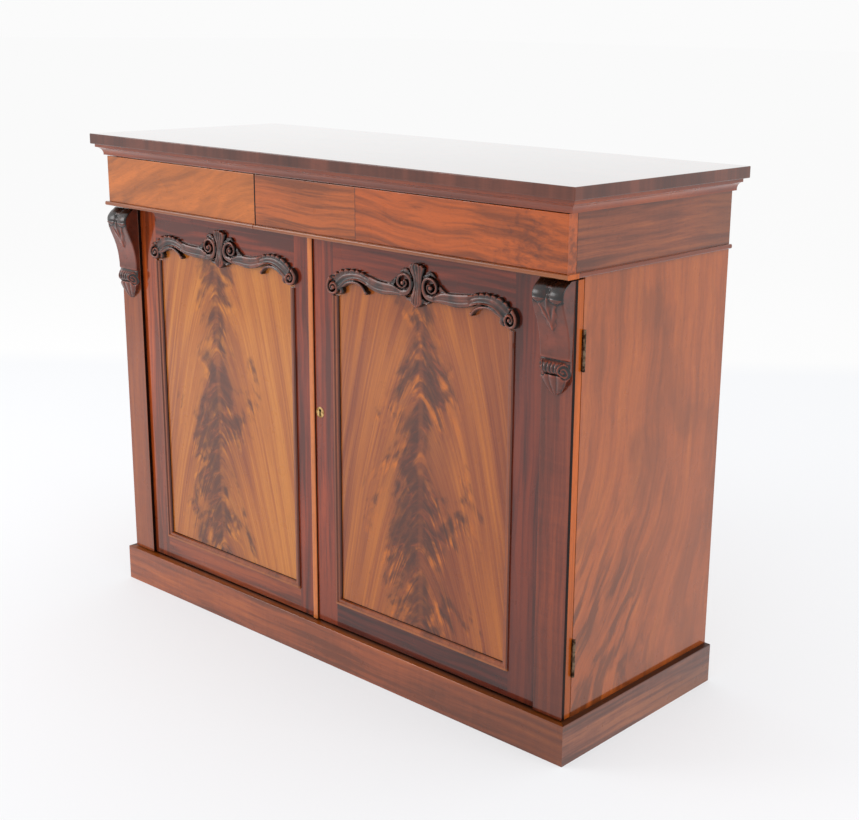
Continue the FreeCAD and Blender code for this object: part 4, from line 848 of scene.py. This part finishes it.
def carve_corbel(door, relief, material):
    """A corbel as one closed skin of level rings, each along its flanks and across its front."""
    middle = middle_of(f"{door}_door_corbel")
    downs = np.arange(0, CORBEL_LENGTH + 0.01, CORBEL_PITCH)
    proud = read_off(curve_through(CORBEL_PROFILE, 400), downs)
    half = read_off(CORBEL_HALF, downs)
    flank, front = np.linspace(0, 1, 18)[:-1], np.linspace(-1, 1, 51)
    across, down = front[None, :] * half[:, None], downs[:, None] + 0 * front[None, :]
    forms = corbel_relief(across, down) * relief
    # The swellings and the roll are darker and the plain neck lighter, and the hollows are
    # darkened: old polish gathered there, with painted shade.
    worn = (0.12 * bell(down, 86, 24) - 0.26 * bell(down, 14, 21, 4)
            - 0.18 * bell(down, 134, 11, 4))
    dips = unit(0.46 - worn + (soften(forms, 10) - forms) * 0.34)
    # The front's corners are eased by 1.2 mm.
    ease = 1.2 * unit((np.abs(front) - 0.94) / 0.06) ** 2
    depth = np.clip(proud[:, None] + forms - ease, 0.4, 31.4)
    points, hollow = [], []
    for q, wide, ys, dip in zip(downs, half, depth, dips):
        side = flank_relief(flank * ys[0], np.full(flank.shape, q))
        left, right = ([(hand * (wide + s), f * (end + CORBEL_SUNK) - CORBEL_SUNK)
                        for f, s in zip(flank, side)] for hand, end in ((-1, ys[0]), (1, ys[-1])))
        ring = left + list(zip(front * wide, ys)) + right[::-1]
        points += [(middle + px, PILASTER_FACE - py, CORBEL_TOP - q) for px, py in ring]
        # The flanks have a dark tone of their own, lighter on the bead: painted shade.
        shade = list(unit(0.47 - 0.1 * side))
        hollow += shade + list(dip) + shade[::-1]
    size = len(points) // len(downs)
    faces = skin(len(downs), size)
    faces += [tuple(range(size)), tuple(reversed(range(len(points) - size, len(points))))]
    finish_carving(door, "corbel", np.array(points), faces, np.array(hollow), material, 58)


# ---------------------------------------------------------------- brassware

def lathe(profile, steps=48):
    """Points and faces of a turned shape from (radius, height) pairs, about its own Z."""
    points, faces = [], skin(len(profile), steps)
    for radius, height in profile:
        turns = [2 * math.pi * k / steps for k in range(steps)]
        points += [(radius * math.cos(t), radius * math.sin(t), height) for t in turns]
    faces += [tuple(reversed(range(steps))), tuple(range(len(points) - steps, len(points)))]
    return np.array(points, float), faces


# A screw's head from its rim to its crown, as (part of its radius, height in mm).
SCREW_HEAD = ((0.55, -0.9), (1, -0.15), (0.97, 0.05), (0.6, 0.22), (0.2, 0.3))


def screw_heads(name, body, spots, toward, radius, finish):
    """Countersunk screws, set flush: a low domed head with a cut slot, all in one object."""
    turn = Vector((0, 0, 1)).rotation_difference(Vector((0, toward, 0))).to_matrix()
    work = bmesh.new()
    for number, spot in enumerate(spots):
        points, faces = lathe([(radius * part, height) for part, height in SCREW_HEAD], 32)
        # The slot is pressed in by lowering the points near a line across the head.
        angle = 0.5 + number * 1.9
        off = points[:, 0] * math.sin(angle) - points[:, 1] * math.cos(angle)
        points[:, 2] -= np.where((np.abs(off) < radius * 0.16) & (points[:, 2] > 0), 0.5, 0)
        made = [work.verts.new(turn @ Vector(p * MM) + Vector(spot) * MM) for p in points]
        for face in faces:
            work.faces.new([made[k] for k in face])
    mesh = bpy.data.meshes.new(name)
    work.to_mesh(mesh)
    work.free()
    made = new_piece(name, mesh, bpy.data.materials[finish], 35)
    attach(made, body)


# ---------------------------------------------------------------- settings

def swatch(name, note, code):
    """A colour setting, its default given in sRGB hex."""
    return bpy.props.FloatVectorProperty(name=name, description=note, subtype="COLOR", size=4,
                                         min=0.0, max=1.0, default=(*linear(code), 1.0))


def power(name, note, watts):
    """A setting of a lamp's power."""
    return bpy.props.FloatProperty(name=name, description=note, unit="POWER", min=0.0,
                                   default=watts)


def length(name, note, millimetres):
    """A setting of a length, its default given in mm."""
    return bpy.props.FloatProperty(name=name, description=note, subtype="DISTANCE",
                                   unit="LENGTH", min=0.0, default=millimetres * MM)


class CabinetColours(bpy.types.PropertyGroup):
    """Colours of the cabinet's woods."""
    top: swatch("Top", "Edge and face of the top board", "#5A2C1D")
    cornice: swatch("Cornice", "Moulding under the top", "#80371B")
    left_frame: swatch("Left door frame", "Rails and meeting stile", "#782A11")
    # Paler because the light falls off from the left: painted light.
    left_stile: swatch("Left hinge stile", "Paler stile at the left", "#963E15")
    right_frame: swatch("Right door frame", "Rails and stiles", "#792B12")
    # Darker because the light falls off to the right: painted shade.
    right_stile: swatch("Right hinge stile", "Darker stile at the right", "#622110")
    right_head: swatch("Right top rail", "Rail in the shade of the frieze", "#6A230D")
    left_foot: swatch("Left bottom rail", "Redder rail at the foot", "#7C3416")
    # Darker at the right door's foot, away from the light: painted shade.
    right_foot: swatch("Right bottom rail", "Dark rail at the foot", "#501A0E")
    panel_bead: swatch("Panel beads", "Upright beads beside the panels", "#86401C")
    # Paler where the lower beads' upper faces catch the light: a painted highlight.
    lit_foot_bead: swatch("Lower panel beads", "Paler beads under the panels", "#A25A26")
    inside: swatch("Inside boards", "Stained rails and divider in the case", "#76361C")
    # The left pilaster is lighter and the right darker because the light falls off to the right:
    # painted light and shade.
    pilaster_left: swatch("Left pilaster", "Flat pilaster on the left", "#863E18")
    pilaster_right: swatch("Right pilaster", "Flat pilaster on the right", "#702C16")
    drawer_left: swatch("Left drawer", "Veneer of the left drawer's front", "#AC5C1C")
    drawer_middle: swatch("Right drawer, first leaf", "Redder leaf of veneer", "#9A4A16")
    drawer_right: swatch("Right drawer, second leaf", "Orange leaf of veneer", "#A0480E")
    side: swatch("Sides", "Boards of the case's sides", "#A14E1C")
    frieze: swatch("Frieze sides", "Sides beside the drawers", "#7C3C1E")
    plinth: swatch("Plinth front", "Front board of the plinth", "#8E4420")
    plinth_side: swatch("Plinth sides", "Side boards of the plinth", "#78412C")
    bead: swatch("Front beads", "Beads under the drawers", "#8C4A22")
    side_bead: swatch("Side beads", "Beads under the frieze's sides", "#7A3414")
    strip: swatch("Meeting strip", "Rounded strip where the doors meet", "#CC7030")
    edge: swatch("Door edges", "Lighter wood of the doors' outer edges", "#BA5A18")
    carving: swatch("Carving", "Stained carving between light and shade", "#441D10")
    corbel: swatch("Corbels", "Polished carving of the corbels", "#4E1E0F")
    left_light: swatch("Left panel, light", "Light streaks", "#C07428")
    left_body: swatch("Left panel, body", "Wood between the streaks", "#A95C1C")
    left_deep: swatch("Left panel, deep", "Deep streaks", "#884018")
    left_feather: swatch("Left panel, feather", "Dark patches of the feather", "#4E2008")
    left_lick: swatch("Left panel, licks", "Bright edges of the feather", "#C0701C")
    right_light: swatch("Right panel, light", "Light streaks", "#B0611C")
    right_body: swatch("Right panel, body", "Wood between the streaks", "#944A1A")
    right_deep: swatch("Right panel, deep", "Deep streaks", "#7A3310")
    right_feather: swatch("Right panel, feather", "Dark patches of the feather", "#461B08")
    right_lick: swatch("Right panel, licks", "Bright edges of the feather", "#BE6412")


class CabinetCarving(bpy.types.PropertyGroup):
    """Sizes of the carving and of its mesh."""
    crest_relief: length("Crest relief", "Highest point of a crest over the door", 10)
    crest_pitch: length("Crest mesh", "Distance between points on a crest", 1.1)
    corbel_relief: bpy.props.FloatProperty(
        name="Corbel carving", description="Depth of the corbels' carving as a part of its own",
        min=0.0, max=1.5, default=1.0, subtype="FACTOR")


class CabinetBrass(bpy.types.PropertyGroup):
    """Sizes of the brassware."""
    screw_radius: length("Hinge screw", "Radius of a hinge screw's head", 3.2)
    lock_screw_radius: length("Lock screw", "Radius of a lock screw's head", 2.8)


class CabinetStage(bpy.types.PropertyGroup):
    """Floor, light and camera."""
    floor: swatch("Floor", "Pale floor", "#F7F8FA")
    far_floor: swatch("Far floor", "Paler floor behind the cabinet", "#FCFCFC")
    surround: swatch("Surround", "White room that lights the cabinet", "#FBFBFB")
    key_power: power("Main light", "Soft light at front left", 22.0)
    side_power: power("Side light", "Soft light at the right", 14.0)
    back_power: power("Back light", "Soft light behind", 1.6)
    lens: bpy.props.FloatProperty(name="Lens", description="Focal length in millimetres",
                                  min=1.0, default=59.44)


# ---------------------------------------------------------------- operators

# Depths on Y, in metres, between which painted shade sets in: on the frieze's front corners, the
# plinth's ledge under the doors (a painted shadow), the flanks of the meeting strip and the roots
# of the panel beads.
FRIEZE_SHADE, LEDGE_SHADOW = (-0.1886, -0.1897), (-0.194, -0.1845)
STRIP_SHADE, BEAD_SHADE = (-0.1873, -0.1858), (-0.184, -0.1816)
# The keyhole's walls, painted dark as shade, as (radius, mouth, foot) on Y, in metres: in the
# escutcheon, in the stile and in the lock.
BRASS_HOLE, STILE_HOLE = (0.008, -0.1843, -0.16), (0.009, -0.1831, -0.1)
LOCK_HOLE = (0.009, -0.1705, -0.165)


class CABINET_OT_finish_woods(bpy.types.Operator):
    """Give each wooden, brass and steel piece of the frame its finish"""
    bl_idname = "cabinet.finish_woods"
    bl_label = "Finish the frame's pieces"

    def execute(self, context):
        colours = context.scene.cabinet_colours
        # The doors' frames are striped: weights of their grain's layers, and how far their tones
        # reach to dark and light.
        striped, streaky = (1.9, 1.8, 0.1), (0.48, 1.55)
        bright = toned(colours.edge, 1.0)
        low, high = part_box("right_door_escutcheon")
        keyhole = ((low.x + high.x) / 2, (low.z + high.z) / 2)

        def board(name, grain, tint, shift, reach=(), **more):
            return polished_board(f"mahogany_{name}_french_polished", grain,
                                  wood_tones(tint, *reach), shift, **more)

        # Solid and veneered mahogany, each board polished with its grain along one axis: the
        # eye sees ribbon-like streaks of red-brown under a clear glossy skin. The number after
        # a tint shifts the noise, so that no two boards have the same figure.
        finishes = {
            "top_board": top_board_finish(colours),
            "cornice_front": board("moulding", "X", colours.cornice, 1.0, clear=0.1),
            "cornice_returns": board("moulding_return", "Y", colours.cornice, 1.5, clear=0.1),
            # The pilasters' sides, facing X, are matt black-brown without the skin: painted shade.
            # The right one darkens towards the floor: painted shade.
            "left_door_pilaster": board(
                "left_pilaster", "Z", colours.pilaster_left, 4.5, (0.7, 1.3),
                ends=("X", PAINTED_SHADE_BLACK, 0.0)),
            "right_door_pilaster": board(
                "right_pilaster", "Z", colours.pilaster_right, 5.5,
                weights=(1.3, 1.5, 0.3), ends=("X", PAINTED_SHADE_BLACK, 0.0),
                dusk=("Z", 0.32, 0.08, 0.4, PAINTED_SHADE_BROWN)),
            "side_left side_right": side_board_finish(wood_tones(colours.side, 0.66, 1.3)),
            # The frieze sides darken at their front corners and towards the wall: painted shade.
            "frieze_side_left frieze_side_right": board(
                "frieze_side", "Y", colours.frieze, 7.5, (0.52, 1.55),
                weights=(1.4, 1.6, 0.1), grime=FRIEZE_SHADE,
                dusk=("Y", 0.08, 0.22, 0.35, PAINTED_SHADE_BROWN)),
            # The plinth's ledge, facing up, is dark orange without the skin and black at the back
            # under the doors: a painted shadow. The front darkens towards its right end: painted
            # falloff of the light.
            "plinth_front": board(
                "plinth", "X", colours.plinth, 8.5, (0.55, 1.5), weights=(1.5, 1.3, 0.2),
                ends=("Z", linear("#8A4412"), 0.0), grime=LEDGE_SHADOW,
                dusk=("X", 0.15, 0.56, 0.5, PAINTED_SHADE_BROWN)),
            # The plinth sides' ledges, facing up, are dark without the skin, and the sides darken
            # towards the wall: painted shade.
            "plinth_left plinth_right": board(
                "plinth_side", "Y", colours.plinth_side, 9.5, (0.5, 1.6),
                weights=(1.4, 1.9, 0.2), ends=("Z", linear("#4A2614"), 0.0),
                dusk=("Y", -0.05, 0.2, 0.35, PAINTED_SHADE_BROWN)),
            "left_drawer_bead right_drawer_bead": board(
                "bead", "X", colours.bead, 10.5, (0.7, 1.3), ends=("X", bright, 0.6)),
            "side_beads": board("side_bead", "Y", colours.side_bead, 11.5, (0.7, 1.3)),
            # The meeting strip's flanks are black: painted shade.
            "right_door_astragal": board(
                "meeting_strip", "Z", colours.strip, 12.5, (0.7, 1.25),
                grime=STRIP_SHADE),
            # Pine rails and divider, stained like the front and waxed: dull red-brown.
            "case_rails drawer_divider": polished_board(
                "pine_inside_rail_stained_and_waxed", "X", wood_tones(colours.inside), 13.5,
                clear=0.35),
            "left_drawer_front": drawer_finish(
                "mahogany_veneer_left_drawer_french_polished",
                [(colours.drawer_left, {"shift": 14.5, "tilt": 0.3, "wander": 60,
                                        "weights": (1.4, 0.9, 0.1)})]),
            "right_drawer_front": drawer_finish(
                "mahogany_veneer_right_drawer_french_polished",
                [(colours.drawer_middle, {"shift": 15.5, "wander": 22,
                                          "weights": (1.4, 3.0, 0.1)}),
                 (colours.drawer_right, {"shift": 16.5, "tilt": -0.05, "wander": 38,
                                         "weights": (1.6, 2.0, 0.1)})],
                joint=0.125, knot=(0.492, 0.815, 0.1)),
            # Rolled brass, filed and tarnished: yellow where rubbed, brown in the dips, black in
            # the keyhole as painted shade.
            "left_door_fittings right_door_escutcheon lock_bolt top_bolt bottom_bolt":
                metal_finish("brass_rolled_and_tarnished", "#8F6A3A", "#D8B47A", 0.32,
                             (*keyhole, *BRASS_HOLE)),
            # Brass hinges under old polish and dirt: nearly brown, with a dull gleam.
            "case_hinge_leaves left_door_hinge_leaves right_door_hinge_leaves":
                metal_finish("brass_hinge_dull_with_age", "#35261C", "#7E6A56", 0.5),
            # Wrought steel, filed and oiled: dark grey with brighter rubbed places, black in the
            # keyhole as painted shade.
            "right_door_lock_case": metal_finish(
                "steel_wrought_and_oiled", "#4A443E", "#8F8A82", 0.42,
                (*keyhole, *LOCK_HOLE)),
        }
        # Baltic pine, planed and never finished: pale yellow-brown, matt and dusty.
        pine = ("#94603E", "#C9976F", (9, 700), 0.7)
        # Quartered oak, planed and waxed: straight pale grain with a dry sheen.
        oak = ("#835634", "#AB7D56", (7, 400), 0.55)
        drawer_boards = [[f"{door}_drawer_{part}" for door in ("left", "right") for part in parts]
                         for parts in (("side_left", "side_right"), ("back", "bottom"))]
        finishes.update({
            "plinth_blocks": plain_wood("pine_planed_upright", "Z", *pine),
            "plinth_back cupboard_floor frieze_floor shelf": plain_wood("pine_planed", "X", *pine),
            "bearers": plain_wood("pine_planed_front_to_back", "Y", *pine),
            "back_boards": plain_wood("pine_back_boards_planed", "Z", "#845436", "#B88762",
                                      (9, 700), 0.75, BACK_BOARD),
            " ".join(drawer_boards[0]): plain_wood("oak_quartered_waxed", "Y", *oak),
            " ".join(drawer_boards[1]): plain_wood("oak_quartered_waxed_across", "X", *oak),
        })
        for door, shift, head, flame in (("left", 2.5, colours.left_frame, LEFT_FLAME),
                                         ("right", 19.5, colours.right_head, RIGHT_FLAME)):
            frame_tint, outer, foot, *veneer = (
                getattr(colours, f"{door}_{part}")
                for part in ("frame", "stile", "foot", "deep", "body", "light", "feather", "lick"))
            for node, finish in {
                    "top_rail": board(f"{door}_rail", "X", head, shift, streaky,
                                      weights=striped),
                    "bottom_rail": board(f"{door}_foot_rail", "X", foot,
                                         shift + 4, streaky, weights=striped),
                    # The stiles darken towards the floor: painted shade. The keyhole's wall in the
                    # right one is black: painted shade.
                    "meeting_stile": board(
                        f"{door}_stile", "Z", frame_tint, shift + 1, streaky,
                        weights=striped, dusk=("Z", 0.3, 0.08, 0.3, PAINTED_SHADE_BROWN),
                        hole=(*keyhole, *STILE_HOLE) if door == "right" else None),
                    # The hinge stile darkens towards the floor: painted shade.
                    "hinge_stile": board(
                        f"{door}_hinge_stile", "Z", outer, shift + 2, (0.5, 1.5),
                        weights=striped, ends=("X", bright, 0.5),
                        dusk=("Z", 0.35, 0.08, 0.3, PAINTED_SHADE_BROWN)),
                    # The beads' flanks facing X are darker and their roots black: painted shade.
                    # The lower bead is paler where its upper face catches the light: a painted
                    # highlight.
                    "panel_beads": board(
                        f"{door}_panel_bead", "Z", colours.panel_bead, shift + 3, (0.6, 1.4),
                        ends=("X", linear("#642A14"), 1.0), grime=BEAD_SHADE,
                        dusk=("Z", 0.124, 0.118, 0.8, toned(colours.lit_foot_bead, 1.0))),
                    "panel": flame_finish(f"flame_mahogany_veneer_{door}_french_polished",
                                          veneer, flame)}.items():
                finishes[f"{door}_door_{node}"] = finish
        finish_of = {node: finish for nodes, finish in finishes.items() for node in nodes.split()}
        carved = {f"{door}_door_{piece}" for door in ("left", "right")
                  for piece in ("crest", "corbel")}
        missing = set(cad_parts) - set(finish_of) - carved
        if missing:
            raise RuntimeError(f"no finish for {sorted(missing)}")
        for node, finish in finish_of.items():
            piece = bpy.data.objects[node]
            piece.data.materials.clear()
            piece.data.materials.append(finish)
        return {"FINISHED"}


class CABINET_OT_carve_crests(bpy.types.Operator):
    """Carve the crest over each door's panel"""
    bl_idname = "cabinet.carve_crests"
    bl_label = "Carve the crests"

    def execute(self, context):
        sizes = context.scene.cabinet_carving
        finish = carved_finish("carved_mahogany_stained_and_polished",
                               context.scene.cabinet_colours.carving, 0.28, 1.0)
        # Each crest has its own hand, by which its lines stray.
        for door, hand in (("left", 0.4), ("right", 2.1)):
            carve_crest(door, sizes.crest_pitch / MM, sizes.crest_relief / MM, finish, hand)
        return {"FINISHED"}


class CABINET_OT_carve_corbels(bpy.types.Operator):
    """Carve the corbel at the head of each pilaster"""
    bl_idname = "cabinet.carve_corbels"
    bl_label = "Carve the corbels"

    def execute(self, context):
        finish = carved_finish("carved_mahogany_corbel_french_polished",
                               context.scene.cabinet_colours.corbel, 0.26, 0.35)
        for door in ("left", "right"):
            carve_corbel(door, context.scene.cabinet_carving.corbel_relief, finish)
        return {"FINISHED"}


# How far the lock's screws lie in from its case's edges on X and Z, and half of a hinge leaf's
# width and height, in metres.
LOCK_INSET, LEAF_HALF = (0.006, 0.007), (0.008, 0.03175)
# Three screws to a leaf, this far up and down in mm, the middle one set off their line.
SCREW_STEPS, SCREW_OFFSET = (-21, 0, 21), 2.5


class CABINET_OT_drive_screws(bpy.types.Operator):
    """Drive the screws of the hinges and of the lock"""
    bl_idname = "cabinet.drive_screws"
    bl_label = "Drive the screws"

    def execute(self, context):
        sizes = context.scene.cabinet_brass
        low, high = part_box("right_door_lock_case")
        in_x, in_z = LOCK_INSET
        spots = [(x / MM, high.y / MM, z / MM) for x in (low.x + in_x, high.x - in_x)
                 for z in (low.z + in_z, high.z - in_z)]
        screw_heads("lock_screws", "right_door", spots, 1, sizes.lock_screw_radius / MM,
                    "brass_rolled_and_tarnished")
        for door in ("left", "right"):
            low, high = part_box(f"{door}_door_hinge_leaves")
            wide, tall = LEAF_HALF
            middle_x = high.x - wide if door == "left" else low.x + wide
            for body, face, toward in (
                    (f"{door}_door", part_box(f"{door}_door_hinge_stile")[1].y, 1),
                    ("carcass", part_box(f"side_{door}")[0].y, -1)):
                spots = [(middle_x / MM + (SCREW_OFFSET if step else -SCREW_OFFSET), face / MM,
                          middle / MM + step)
                         for middle in (low.z + tall, high.z - tall) for step in SCREW_STEPS]
                screw_heads(f"{door}_hinge_screws_{body}", body, spots, toward,
                            sizes.screw_radius / MM, "brass_hinge_dull_with_age")
        return {"FINISHED"}


# Soft lights as (name, place, point aimed at, size, setting of the power), in metres.
LAMPS = (
    ("soft_light_front_left", (-1.9, -1.9, 1.5), (-0.4, -0.2, 0.45), (1.3, 1.3), "key_power"),
    ("soft_light_right", (3.0, 0.4, 1.9), (0.5, 0.0, 0.45), (1.6, 1.6), "side_power"),
    ("soft_light_behind", (-2.7, 2.9, 2.1), (0.0, 0.0, 2.1), (5.0, 2.2), "back_power"))
# The camera as fitted to the photograph: its right, its up, its back and its place, as columns.
CAMERA = Matrix(((0.750531, -0.187039, 0.633813, 1.8064),
                 (0.660634, 0.188702, -0.726605, -1.7979),
                 (0.016301, 0.964058, 0.265191, 1.1369),
                 (0, 0, 0, 1)))
# The photograph is a crop, so its optical centre is 60.5 px right of its middle.
CAMERA_SHIFT = -60.5 / 859
# The floor is paler beyond this level direction's line, from one distance to another, in metres.
FLOOR_AWAY, FLOOR_LINE = (-0.6573, 0.7536, 0.0), (2.08, 2.3)


class CABINET_OT_set_stage(bpy.types.Operator):
    """Set the floor, the light and the camera"""
    bl_idname = "cabinet.set_stage"
    bl_label = "Set the stage"

    def execute(self, context):
        scene = context.scene
        stage = scene.cabinet_stage
        # Painted floor: even and matt, a shade paler beyond the line behind the cabinet.
        material, tree, shader, coords = new_finish("floor_painted_matt")
        away = add(tree, "VectorMath", coords, FLOOR_AWAY, operation="DOT_PRODUCT")
        far = add(tree, "MapRange", away.outputs["Value"], From_Min=FLOOR_LINE[0],
                  From_Max=FLOOR_LINE[1])
        colour = add(tree, "Mix", far, stage.floor, stage.far_floor, data_type="RGBA")
        # Half of the floor's brightness is light from below, as on a lit white sweep.
        half = add(tree, "Mix", 0.5, colour, (0.0, 0.0, 0.0), data_type="RGBA")
        put(tree, shader, {"Base Color": half, "Emission Color": half, "Emission Strength": 1.0,
                           "Roughness": 0.9, "Specular IOR Level": 0.0})
        mesh = bpy.data.meshes.new("floor")
        work = bmesh.new()
        bmesh.ops.create_grid(work, x_segments=12, y_segments=12, size=60.0)
        work.to_mesh(mesh)
        work.free()
        new_piece("floor", mesh, material)
        scene.world = bpy.data.worlds.new("white_room")
        scene.world.use_nodes = True
        back = scene.world.node_tree.nodes["Background"]
        back.inputs["Color"].default_value = stage.surround
        for name, place, aim, size, setting in LAMPS:
            light = bpy.data.lights.new(name, "AREA")
            light.shape = "RECTANGLE"
            light.energy = getattr(stage, setting)
            light.size, light.size_y = size
            lamp = bpy.data.objects.new(name, light)
            lamp.location = place
            lamp.rotation_euler = (Vector(aim) - Vector(place)).to_track_quat("-Z", "Y").to_euler()
            lamp.visible_camera = False
            scene.collection.objects.link(lamp)
        camera = bpy.data.cameras.new("camera")
        camera.lens, camera.sensor_width, camera.sensor_fit = stage.lens, 36.0, "HORIZONTAL"
        camera.shift_x, camera.clip_end = CAMERA_SHIFT, 200.0
        scene.camera = bpy.data.objects.new("camera", camera)
        scene.camera.matrix_world = CAMERA
        scene.collection.objects.link(scene.camera)
        scene.view_settings.view_transform = "Standard"
        return {"FINISHED"}


class CABINET_PT_panel(bpy.types.Panel):
    """The cabinet's steps and settings"""
    bl_label = "Mahogany side cabinet"
    bl_idname = "CABINET_PT_panel"
    bl_space_type = "VIEW_3D"
    bl_region_type = "UI"
    bl_category = "Cabinet"

    def draw(self, context):
        for group in GROUPS:
            box = self.layout.box()
            for key in getattr(context.scene, group).bl_rna.properties.keys():
                if key not in ("rna_type", "name"):
                    box.prop(getattr(context.scene, group), key)
        for operator in OPERATORS:
            self.layout.operator(operator.bl_idname)


GROUPS = {"cabinet_colours": CabinetColours, "cabinet_carving": CabinetCarving,
          "cabinet_brass": CabinetBrass, "cabinet_stage": CabinetStage}
OPERATORS = (CABINET_OT_finish_woods, CABINET_OT_carve_crests, CABINET_OT_carve_corbels,
             CABINET_OT_drive_screws, CABINET_OT_set_stage)
CLASSES = (*GROUPS.values(), *OPERATORS, CABINET_PT_panel)


def register():
    for kind in CLASSES:
        bpy.utils.register_class(kind)
    for name, kind in GROUPS.items():
        setattr(bpy.types.Scene, name, bpy.props.PointerProperty(type=kind))


def unregister():
    for name in GROUPS:
        delattr(bpy.types.Scene, name)
    for kind in reversed(CLASSES):
        bpy.utils.unregister_class(kind)


def main():
    register()
    bpy.ops.cabinet.finish_woods()
    bpy.ops.cabinet.carve_crests()
    bpy.ops.cabinet.carve_corbels()
    bpy.ops.cabinet.drive_screws()
    bpy.ops.cabinet.set_stage()


if __name__ == "__main__":
    main()
